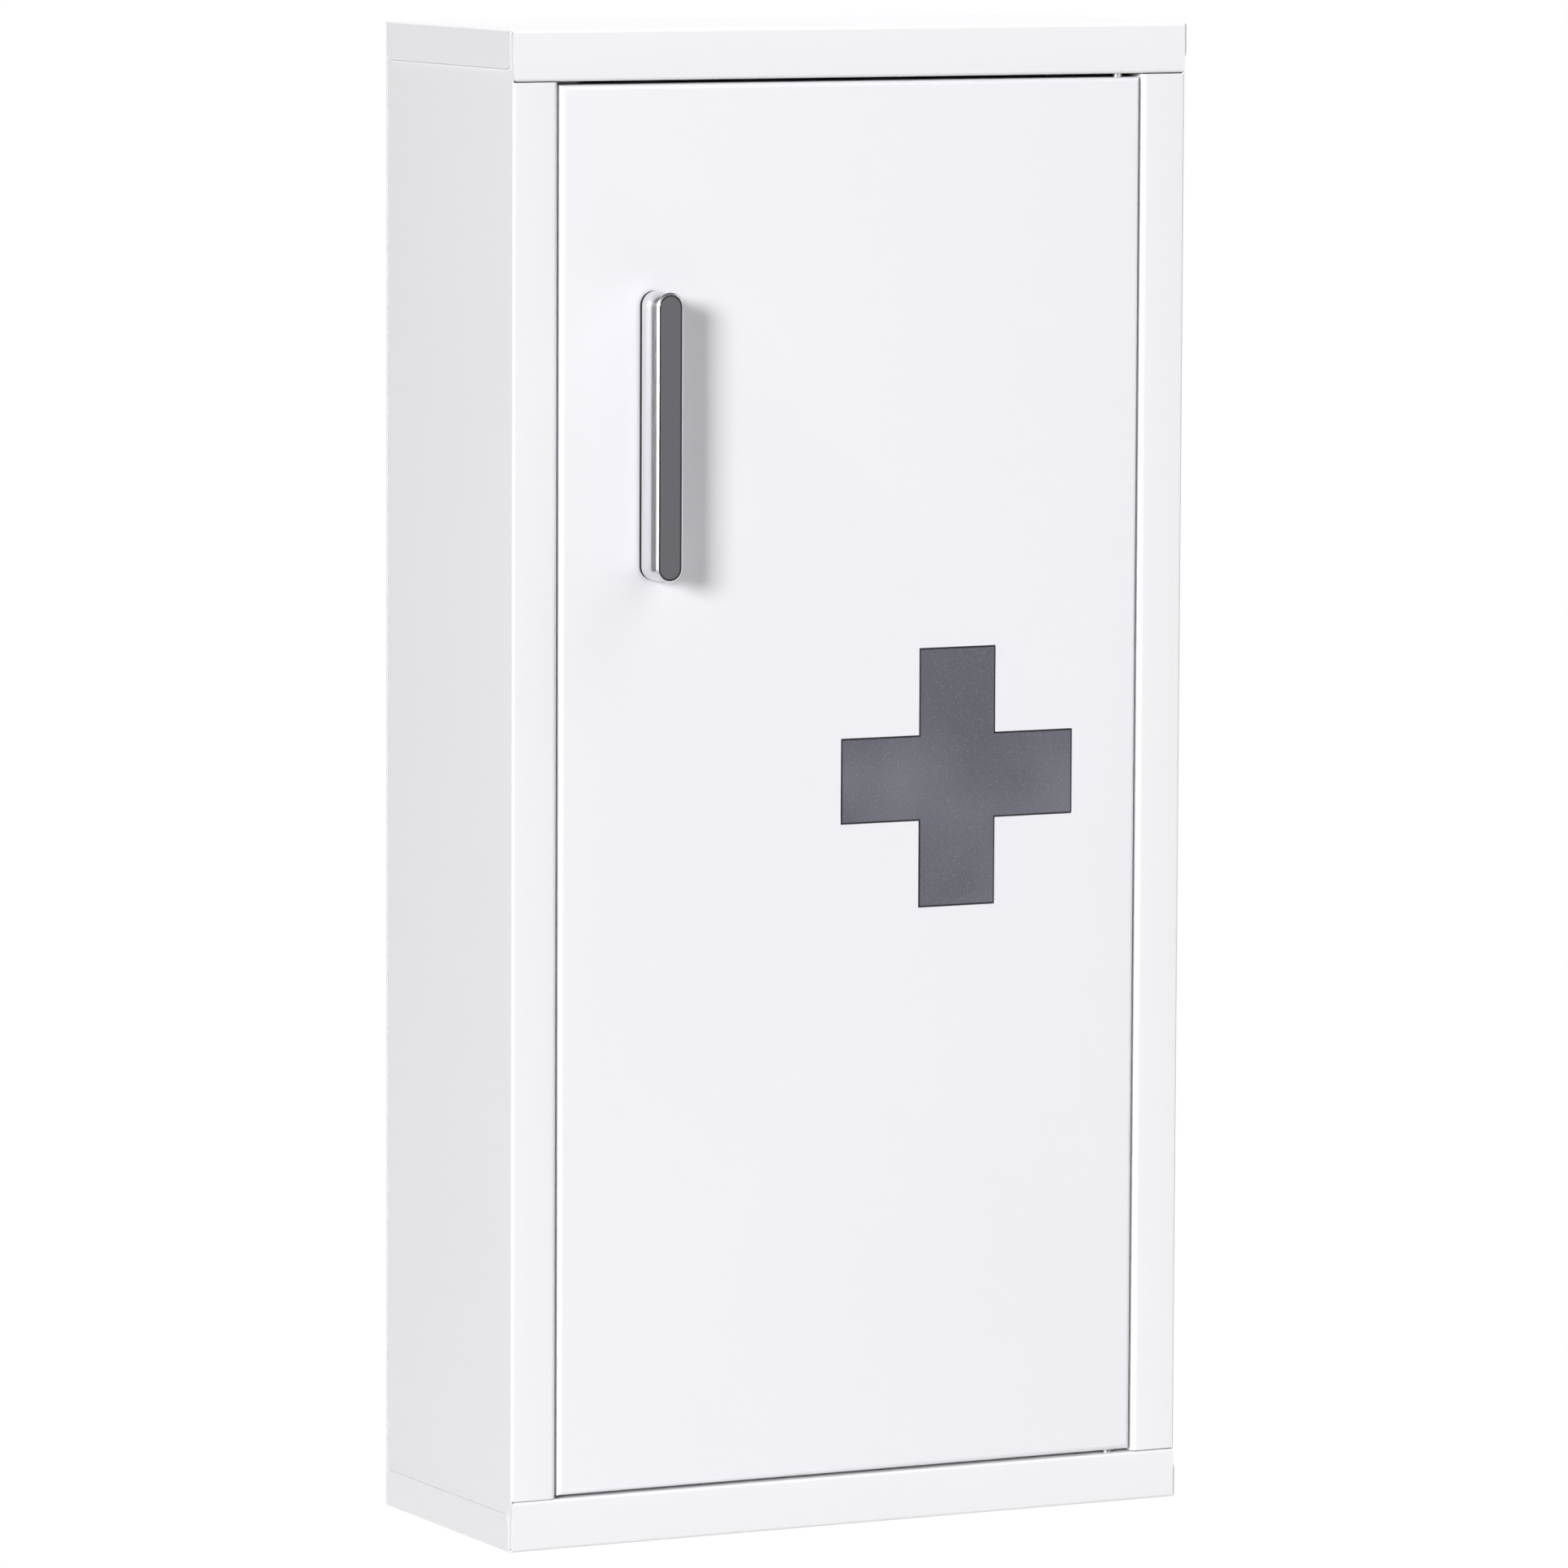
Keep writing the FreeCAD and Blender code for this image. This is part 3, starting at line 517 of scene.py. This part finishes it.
def inside_cross(tree, points):
    """Give how far inside the cross's outline a point lies, in metres."""
    centred = add_node(tree, "ShaderNodeVectorMath", settings={"operation": "SUBTRACT"},
                       inputs={1: (CROSS_X * MM, 0, 0)}, links={0: points})
    folded = add_node(tree, "ShaderNodeVectorMath", settings={"operation": "ABSOLUTE"},
                      links={0: centred.outputs["Vector"]})
    bars = []
    for reach_x, reach_z in ((CROSS_REACH, CROSS_ARM), (CROSS_ARM, CROSS_REACH)):
        left = add_node(tree, "ShaderNodeVectorMath", settings={"operation": "SUBTRACT"},
                        inputs={0: (reach_x * MM, 0, reach_z * MM)}, links={1: folded.outputs["Vector"]})
        sides = add_node(tree, "ShaderNodeSeparateXYZ", links={"Vector": left.outputs["Vector"]})
        bars.append(add_node(tree, "ShaderNodeMath", settings={"operation": "MINIMUM"},
                             links={0: sides.outputs["X"], 1: sides.outputs["Z"]}))
    return add_node(tree, "ShaderNodeMath", settings={"operation": "MAXIMUM"},
                    links={0: bars[0].outputs["Value"], 1: bars[1].outputs["Value"]}).outputs["Value"]


def smoke_acrylic(name, dark_hex, light_hex, speck_hex, rim_hex, roughness):
    """Satin smoke acrylic with painted reflection in soft clouds, pale specks and a dark rim."""
    material, tree, shader = new_material(name, Roughness=roughness, IOR=1.49)
    points = add_node(tree, "ShaderNodeTexCoord").outputs["Object"]
    # Painted reflection: broad soft patches, lighter and darker, that stand in for the room mirrored in the satin
    # face.
    shifted = add_node(tree, "ShaderNodeMapping",
                       inputs={"Location": [step * MM for step in REFLECTION_PATCH_PLACE]}, links={"Vector": points})
    clouds = add_node(tree, "ShaderNodeTexNoise", inputs={"Scale": per_metre(REFLECTION_PATCH_SIZE), "Detail": 2.0},
                      links={"Vector": shifted.outputs["Vector"]})
    spread = add_node(tree, "ShaderNodeMapRange", inputs={"From Min": 0.45, "From Max": 0.8},
                      links={"Value": clouds.outputs["Fac"]})
    tint = add_node(tree, "ShaderNodeMix", settings={"data_type": "RGBA"},
                    inputs={MIX_A: colour(dark_hex), MIX_B: colour(light_hex)},
                    links={"Factor": spread.outputs["Result"]})
    dust = add_node(tree, "ShaderNodeTexNoise", inputs={"Scale": per_metre(SPECK_SIZE), "Detail": 1.0},
                    links={"Vector": points})
    specks = add_node(tree, "ShaderNodeMapRange",
                      inputs={"From Min": SPECK_LEVEL, "From Max": SPECK_LEVEL + 0.15,
                              "To Max": SPECK_STRENGTH},
                      links={"Value": dust.outputs["Fac"]})
    speckled = add_node(tree, "ShaderNodeMix", settings={"data_type": "RGBA"},
                        inputs={MIX_B: colour(speck_hex)},
                        links={"Factor": specks.outputs["Result"], MIX_A: tint.outputs[MIXED]})
    # A dark line 0.45 mm wide is drawn in the colour along the rim of the cross's face, on its front only.
    near_edge = add_node(tree, "ShaderNodeMapRange",
                         inputs={"From Min": RIM_WIDTH * MM, "From Max": RIM_WIDTH * MM * 0.8},
                         links={"Value": inside_cross(tree, points)})
    depth = add_node(tree, "ShaderNodeSeparateXYZ", links={"Vector": points}).outputs["Y"]
    near_face = add_node(tree, "ShaderNodeMath", settings={"operation": "LESS_THAN"},
                         inputs={1: pane_front + RIM_BEHIND * MM}, links={0: depth})
    rim = add_node(tree, "ShaderNodeMath", settings={"operation": "MULTIPLY"},
                   links={0: near_edge.outputs["Result"], 1: near_face.outputs["Value"]})
    rimmed = add_node(tree, "ShaderNodeMix", settings={"data_type": "RGBA"},
                      inputs={MIX_B: colour(rim_hex)},
                      links={"Factor": rim.outputs["Value"], MIX_A: speckled.outputs[MIXED]})
    tree.links.new(rimmed.outputs[MIXED], shader.inputs["Base Color"])
    return material


smoke = smoke_acrylic("cast_acrylic_smoke", "5A5B65", "75767F", "A8A8B0", "101014", 0.32)

# %% [markdown]
# The gasket under the handle is black rubber, cut from sheet; rubber is matt, with a fine pore
# texture from the press. The two bumpers are a softer grey polyurethane that lets some light in.

# %% Rubber
PORE_SIZE = 0.5
PORE_DEPTH = 0.01


def rubber(name, hex_value, roughness, **values):
    """Rubber with the fine pores of pressed sheet."""
    material, tree, shader = new_material(name, IOR=1.52, **values)
    points = add_node(tree, "ShaderNodeTexCoord").outputs["Object"]
    pores = add_node(tree, "ShaderNodeTexNoise", inputs={"Scale": per_metre(PORE_SIZE), "Detail": 3.0},
                     links={"Vector": points})
    tone = add_node(tree, "ShaderNodeMix", settings={"data_type": "RGBA"},
                    inputs={MIX_A: colour(hex_value, 0.85), MIX_B: colour(hex_value, 1.15)},
                    links={"Factor": pores.outputs["Fac"]})
    gloss = add_node(tree, "ShaderNodeMapRange",
                     inputs={"To Min": roughness - 0.08, "To Max": roughness + 0.08},
                     links={"Value": pores.outputs["Fac"]})
    bump = add_node(tree, "ShaderNodeBump", inputs={"Distance": PORE_DEPTH * MM, "Strength": 0.6},
                    links={"Height": pores.outputs["Fac"]})
    tree.links.new(tone.outputs[MIXED], shader.inputs["Base Color"])
    tree.links.new(gloss.outputs["Result"], shader.inputs["Roughness"])
    tree.links.new(bump.outputs["Normal"], shader.inputs["Normal"])
    return material


gasket_rubber = rubber("epdm_rubber_black", "0C0C0C", 0.85)
bumper_rubber = rubber("polyurethane_bumper_grey", "C2C2C0", 0.4, Transmission_Weight=0.35)

gasket_low, gasket_high = [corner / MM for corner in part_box("handle_gasket")]
gasket_thickness = gasket_high.y - gasket_low.y
gasket_steps = [(GASKET_EDGE, 0.0), (0.0, GASKET_EDGE), (0.0, gasket_thickness - GASKET_EDGE),
                (GASKET_EDGE, gasket_thickness)]
gasket_build = stadium_stack(gasket_steps, gasket_low, gasket_high)
dressed("rubber_handle_gasket", gasket_build, "door", gasket_rubber, ["handle_gasket"])

# %% [markdown]
# Inside the door everything is plain hardware. Screws, nuts, studs, strips and the plate behind the
# handle are zinc plated: a bluish, slightly cloudy silver, duller than chrome. The two pivot pins
# are turned from bar and left bright, so rings from the lathe run round them.

# %% Plated and turned steel
ZINC_CLOUD = 6.0
ZINC_GRAIN = 0.25
TURNING_RING = 0.22
TURNING_DEPTH = 0.003


def zinc_plate(name, cool_hex, warm_hex, roughness):
    """Zinc-plated steel: soft clouds of two silvers and a fine grain."""
    material, tree, shader = new_material(name, Metallic=1.0)
    points = add_node(tree, "ShaderNodeTexCoord").outputs["Object"]
    clouds = add_node(tree, "ShaderNodeTexNoise", inputs={"Scale": per_metre(ZINC_CLOUD), "Detail": 3.0},
                      links={"Vector": points})
    tone = add_node(tree, "ShaderNodeMix", settings={"data_type": "RGBA"},
                    inputs={MIX_A: colour(cool_hex), MIX_B: colour(warm_hex)},
                    links={"Factor": clouds.outputs["Fac"]})
    grain = add_node(tree, "ShaderNodeTexNoise", inputs={"Scale": per_metre(ZINC_GRAIN), "Detail": 2.0},
                     links={"Vector": points})
    gloss = add_node(tree, "ShaderNodeMapRange",
                     inputs={"To Min": roughness - 0.08, "To Max": roughness + 0.08},
                     links={"Value": grain.outputs["Fac"]})
    tree.links.new(tone.outputs[MIXED], shader.inputs["Base Color"])
    tree.links.new(gloss.outputs["Result"], shader.inputs["Roughness"])
    return material


def turned_steel(name, hex_value, roughness):
    """Bright steel from the lathe, with fine rings round Z."""
    material, tree, shader = new_material(name, Metallic=1.0)
    shader.inputs["Base Color"].default_value = colour(hex_value)
    points = add_node(tree, "ShaderNodeTexCoord").outputs["Object"]
    rings = add_node(tree, "ShaderNodeMapping", inputs={"Scale": (0.0, 0.0, per_metre(TURNING_RING))},
                     links={"Vector": points})
    cut = add_node(tree, "ShaderNodeTexNoise", inputs={"Scale": 1.0, "Detail": 1.0},
                   links={"Vector": rings.outputs["Vector"]})
    gloss = add_node(tree, "ShaderNodeMapRange",
                     inputs={"To Min": roughness - 0.06, "To Max": roughness + 0.06},
                     links={"Value": cut.outputs["Fac"]})
    bump = add_node(tree, "ShaderNodeBump", inputs={"Distance": TURNING_DEPTH * MM, "Strength": 1.0},
                    links={"Height": cut.outputs["Fac"]})
    tree.links.new(gloss.outputs["Result"], shader.inputs["Roughness"])
    tree.links.new(bump.outputs["Normal"], shader.inputs["Normal"])
    return material


zinc = zinc_plate("zinc_plated_steel", "B9BEC4", "C9C8C4", 0.36)
pin_steel = turned_steel("turned_steel_bright", "CFCFD0", 0.24)

# %% [markdown]
# Three plastics and one ceramic are left. The hinge blocks are natural nylon, the catch housing is
# white acetal, and both were moulded, so their skin has the fine sparks of an eroded mould. The
# magnet is black ferrite, ground flat, with the sparkle of its grains.

# %% Moulded plastics and ferrite
SPARK_SIZE = 0.3
SPARK_DEPTH = 0.006


def moulded(name, hex_value, roughness, **values):
    """A moulded or pressed skin: even colour, with the fine sparks of the tool."""
    material, tree, shader = new_material(name, **values)
    points = add_node(tree, "ShaderNodeTexCoord").outputs["Object"]
    sparks = add_node(tree, "ShaderNodeTexNoise", inputs={"Scale": per_metre(SPARK_SIZE), "Detail": 2.0},
                      links={"Vector": points})
    tone = add_node(tree, "ShaderNodeMix", settings={"data_type": "RGBA"},
                    inputs={MIX_A: colour(hex_value, 0.94), MIX_B: colour(hex_value, 1.04)},
                    links={"Factor": sparks.outputs["Fac"]})
    gloss = add_node(tree, "ShaderNodeMapRange",
                     inputs={"To Min": roughness - 0.06, "To Max": roughness + 0.06},
                     links={"Value": sparks.outputs["Fac"]})
    bump = add_node(tree, "ShaderNodeBump", inputs={"Distance": SPARK_DEPTH * MM, "Strength": 1.0},
                    links={"Height": sparks.outputs["Fac"]})
    tree.links.new(tone.outputs[MIXED], shader.inputs["Base Color"])
    tree.links.new(gloss.outputs["Result"], shader.inputs["Roughness"])
    tree.links.new(bump.outputs["Normal"], shader.inputs["Normal"])
    return material


hinge_nylon = moulded("nylon_natural_moulded", "E6E2D6", 0.45, IOR=1.53, Subsurface_Weight=0.15,
                      Subsurface_Scale=1.5 * MM)
catch_acetal = moulded("acetal_white_moulded", "ECECE8", 0.38, IOR=1.48)
ferrite = moulded("ferrite_ground", "26262A", 0.55, IOR=2.0)

# %% [markdown]
# A screw is a stack of rings too. Its pan head has a cross recess for the driver. The recess starts
# as a ring of 24 points whose reach follows the outline of a plus: a point on an arm's end lies at
# the arm's reach, and one on an arm's side lies at half the arm's width. Fifteen degrees between
# points puts one on each of the plus's corners if the arm is about half as wide as it is long.

# %% Screws
ARM_SHARE = math.tan(math.radians(15))
RECESS_SHARE = 0.52
RECESS_DEPTH_SHARE = 0.62
RECESS_BOTTOM_SHARE = 0.35
SCREW_TIP_SHARE = 0.8


def plus(reach):
    """Give the rule for a ring with the outline of a plus."""
    def out(angle):
        along = max(abs(math.cos(angle)), abs(math.sin(angle)))
        beside = min(abs(math.cos(angle)), abs(math.sin(angle)))
        if beside <= along * ARM_SHARE * 1.001:
            return reach / along
        return reach * ARM_SHARE / beside
    return out


def pan_screw(shank_radius, shank_length, head_radius, head_height):
    """A pan-head screw that stands on its tip, with its head's seat at height 0."""
    recess = head_radius * RECESS_SHARE
    bottom = head_height * (1 - RECESS_DEPTH_SHARE)
    steps = [
        (shank_radius * SCREW_TIP_SHARE, -shank_length),
        (shank_radius, -shank_length + shank_radius * (1 - SCREW_TIP_SHARE)),
        (shank_radius, 0.0),
        (head_radius * 0.97, 0.0),
        (head_radius, head_height * 0.08),
        (head_radius, head_height * 0.45),
        (head_radius * 0.97, head_height * 0.68),
        (head_radius * 0.88, head_height * 0.86),
        (head_radius * 0.72, head_height * 0.96),
        (head_radius * 0.58, head_height),
        (plus(recess), head_height * 0.985),
        (plus(recess * RECESS_BOTTOM_SHARE), bottom),
    ]
    return stacked(steps)


def centres(node, parts_along_x=1, parts_along_z=2):
    """Give the x and z, in millimetres, of the alike parts that a node holds in rows."""
    points = [point.co / MM for point in nodes[node].data.vertices]
    places = []
    for column in range(parts_along_x):
        for row in range(parts_along_z):
            places.append((column, row))
    xs = sorted(point.x for point in points)
    zs = sorted(point.z for point in points)
    split_x = (xs[0] + xs[-1]) / 2
    split_z = (zs[0] + zs[-1]) / 2
    found = []
    for column, row in places:
        group = [point for point in points
                 if (parts_along_x == 1 or (point.x > split_x) == bool(column))
                 and (parts_along_z == 1 or (point.z > split_z) == bool(row))]
        found.append(((min(p.x for p in group) + max(p.x for p in group)) / 2,
                      (min(p.z for p in group) + max(p.z for p in group)) / 2))
    return found


BACKWARDS = (0, 1, 0)
HANDLE_SCREW = {"shank_radius": 2.0, "head_radius": 3.6, "head_height": 2.4}
CATCH_SCREW = {"shank_radius": 1.5, "head_radius": 2.7, "head_height": 1.8}
for node, sizes, body in (("handle_screws", HANDLE_SCREW, "door"), ("catch_screws", CATCH_SCREW, "case")):
    low, high = [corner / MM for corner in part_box(node)]
    seat_y = high.y - sizes["head_height"]
    for number, (x, z) in enumerate(centres(node), 1):
        screw = placed(pan_screw(shank_length=seat_y - low.y, **sizes), (x, seat_y, z), BACKWARDS)
        dressed(f"{node[:-1]}_{number}", screw, body, zinc, [node])

# %% [markdown]
# The pane is held by two strips on four welded studs. A stud's thread is a real helix here: a
# zigzag line that is one section of the thread is spun once round, climbing one pitch on the way,
# so that its end meets its start one thread higher. The ragged ends are cut off square and closed.
# The nut is a stack of rings whose reach follows a hexagon, with its corners turned off as a cone.

# %% Studs and nuts
PITCH = 0.5
THREAD_DEPTH = 0.27
NUT_ACROSS = 5.5
NUT_CHAMFER = math.radians(30)


def threaded_stud(radius, length):
    """A stud that stands on height 0, threaded all the way."""
    build = bmesh.new()
    turns = round(length / PITCH) + 2
    zigzag = []
    for turn in range(turns):
        zigzag.append(build.verts.new(Vector((radius - THREAD_DEPTH, 0, (turn - 1) * PITCH)) * MM))
        zigzag.append(build.verts.new(Vector((radius, 0, (turn - 0.5) * PITCH)) * MM))
    edges = [build.edges.new(pair) for pair in zip(zigzag, zigzag[1:])]
    bmesh.ops.spin(build, geom=zigzag + edges, cent=(0, 0, 0), axis=(0, 0, 1),
                   dvec=(0, 0, PITCH * MM / ROUND_SEGMENTS), angle=math.tau, steps=ROUND_SEGMENTS,
                   use_merge=False)
    bmesh.ops.remove_doubles(build, verts=build.verts, dist=0.001 * MM)
    for height, outwards in ((0.0, -1), (length, 1)):
        cut = bmesh.ops.bisect_plane(build, geom=build.verts[:] + build.edges[:] + build.faces[:],
                                     dist=0.0001 * MM, plane_co=(0, 0, height * MM),
                                     plane_no=(0, 0, outwards), clear_outer=True)
        rim = of_kind(cut["geom_cut"], bmesh.types.BMEdge)
        bmesh.ops.holes_fill(build, edges=rim, sides=0)
    bmesh.ops.recalc_face_normals(build, faces=build.faces)
    return build


def hexagon(across):
    """Give the rule for a ring with the outline of a hexagon, flat on its sides."""
    def out(angle):
        from_flat = (angle + math.pi / 6) % (math.pi / 3) - math.pi / 6
        return across / 2 / math.cos(from_flat)
    return out


def hex_nut(bore, height):
    """A nut that lies on height 0, with both faces chamfered."""
    outline = hexagon(NUT_ACROSS)
    flat = NUT_ACROSS / 2 * 0.96

    def sunk(angle):
        return (outline(angle) - flat) * math.tan(NUT_CHAMFER)

    steps = [(bore, 0.3), (bore + 0.3, 0.0), (flat, 0.0), (outline, sunk),
             (outline, lambda angle: height - sunk(angle)), (flat, height), (bore + 0.3, height),
             (bore, height - 0.3), (bore, 0.3)]
    build = stacked(steps, closed=False)
    bmesh.ops.remove_doubles(build, verts=build.verts, dist=0.001 * MM)
    bmesh.ops.recalc_face_normals(build, faces=build.faces)
    return build


stud_low, stud_high = [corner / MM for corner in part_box("pane_studs")]
nut_low, nut_high = [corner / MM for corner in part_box("pane_nuts")]
STUD_RADIUS = 1.5
for number, (x, z) in enumerate(centres("pane_studs", 2, 2), 1):
    stud = placed(threaded_stud(STUD_RADIUS, stud_high.y - stud_low.y), (x, stud_low.y, z), BACKWARDS)
    dressed(f"pane_stud_{number}", stud, "door", zinc, ["pane_studs"])
    nut = placed(hex_nut(STUD_RADIUS - THREAD_DEPTH / 2, nut_high.y - nut_low.y), (x, nut_low.y, z),
                 BACKWARDS)
    dressed(f"pane_nut_{number}", nut, "door", zinc, ["pane_nuts"])

# %% [markdown]
# The door closes against two soft bumpers, and swings on two pins. A bumper is a flat dome, pressed
# in a mould. A pin is a plain shaft with a thick head and a rounded end.

# %% Bumpers and pins
bumper_low, bumper_high = [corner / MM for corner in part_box("door_bumpers")]
BUMPER_RADIUS = (bumper_high.x - bumper_low.x) / 2
bumper_height = bumper_high.y - bumper_low.y
DOME_STEPS = 8
bumper_steps = [(BUMPER_RADIUS * 0.94, 0.0)]
for step in range(DOME_STEPS):
    turn = math.pi / 2 * step / DOME_STEPS
    bumper_steps.append((BUMPER_RADIUS * math.cos(turn) ** 0.6,
                         bumper_height * (0.12 + 0.88 * math.sin(turn))))
for number, (x, z) in enumerate(centres("door_bumpers"), 1):
    bumper = placed(stacked(bumper_steps), (x, bumper_low.y, z), BACKWARDS)
    dressed(f"door_bumper_{number}", bumper, "door", bumper_rubber, ["door_bumpers"])

PIN_RADIUS = 2.0
PIN_HEAD = 1.2
PIN_EDGE = 0.4
for node, inwards in (("upper_hinge_pin", -1), ("lower_hinge_pin", 1)):
    low, high = [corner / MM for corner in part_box(node)]
    head_radius = (high.x - low.x) / 2
    length = high.z - low.z
    steps = [(head_radius - PIN_EDGE, 0.0), (head_radius, PIN_EDGE), (head_radius, PIN_HEAD),
             (PIN_RADIUS, PIN_HEAD), (PIN_RADIUS, length - PIN_EDGE), (PIN_RADIUS - PIN_EDGE, length)]
    start = high.z if inwards < 0 else low.z
    pin = placed(stacked(steps, 48), ((low.x + high.x) / 2, (low.y + high.y) / 2, start), (0, 0, inwards))
    dressed(f"{node}_turned", pin, "case", pin_steel, [node])

# %% [markdown]
# Every sheet, block and plate that is left has the right shape already, but its edges are sharp as
# no real edge is. Paint rounds the edge of a cut sheet, and a mould rounds a plastic block. So each
# is copied, its loose triangles are merged and the flat ones joined, and a fine bevel is added. The
# bevel is what catches a thin line of light along each edge.

# %% Softened edges
SAME_POINT = 0.001 * MM
FLAT = math.radians(0.5)
EDGE_ANGLE = math.radians(40)
PAINT_EDGE, STEEL_EDGE, MOULD_EDGE, ACRYLIC_EDGE = 0.14, 0.12, 0.35, 0.1


def softened(node, body, finish, edge):
    """Replace a node by a copy with finely bevelled edges."""
    build = bmesh.new()
    build.from_mesh(nodes[node].data)
    bmesh.ops.remove_doubles(build, verts=build.verts, dist=SAME_POINT)
    bmesh.ops.dissolve_limit(build, angle_limit=FLAT, verts=build.verts, edges=build.edges)
    piece = dressed(f"{node}_softened", build, body, finish, [node])
    bevel = piece.modifiers.new("edge", "BEVEL")
    bevel.width = edge * MM
    bevel.segments = 2
    bevel.limit_method = "ANGLE"
    bevel.angle_limit = EDGE_ANGLE
    return piece


record = frame["record"]
body_of_node = {node: body for body, names in record["behaviour"]["bodies"].items() for node in names}
softened_nodes = {
    "top_cap": (case_coat, PAINT_EDGE), "bottom_pan": (case_coat, PAINT_EDGE),
    "left_side_panel": (case_coat, PAINT_EDGE), "right_side_panel": (case_coat, PAINT_EDGE),
    "back_panel": (case_coat, PAINT_EDGE), "upper_shelf": (case_coat, PAINT_EDGE),
    "lower_shelf": (case_coat, PAINT_EDGE), "shelf_rails": (case_coat, PAINT_EDGE),
    "door_panel": (door_coat, PAINT_EDGE),
    "cross_pane": (smoke, ACRYLIC_EDGE),
    "handle_backing_plate": (zinc, STEEL_EDGE), "pane_strips": (zinc, STEEL_EDGE),
    "catch_pole_plates": (zinc, STEEL_EDGE),
    "catch_housing": (catch_acetal, MOULD_EDGE), "catch_magnet": (ferrite, STEEL_EDGE),
    "upper_hinge_block": (hinge_nylon, STEEL_EDGE), "lower_hinge_block": (hinge_nylon, STEEL_EDGE),
}
for node, (finish, edge) in softened_nodes.items():
    softened(node, body_of_node[node], finish, edge)
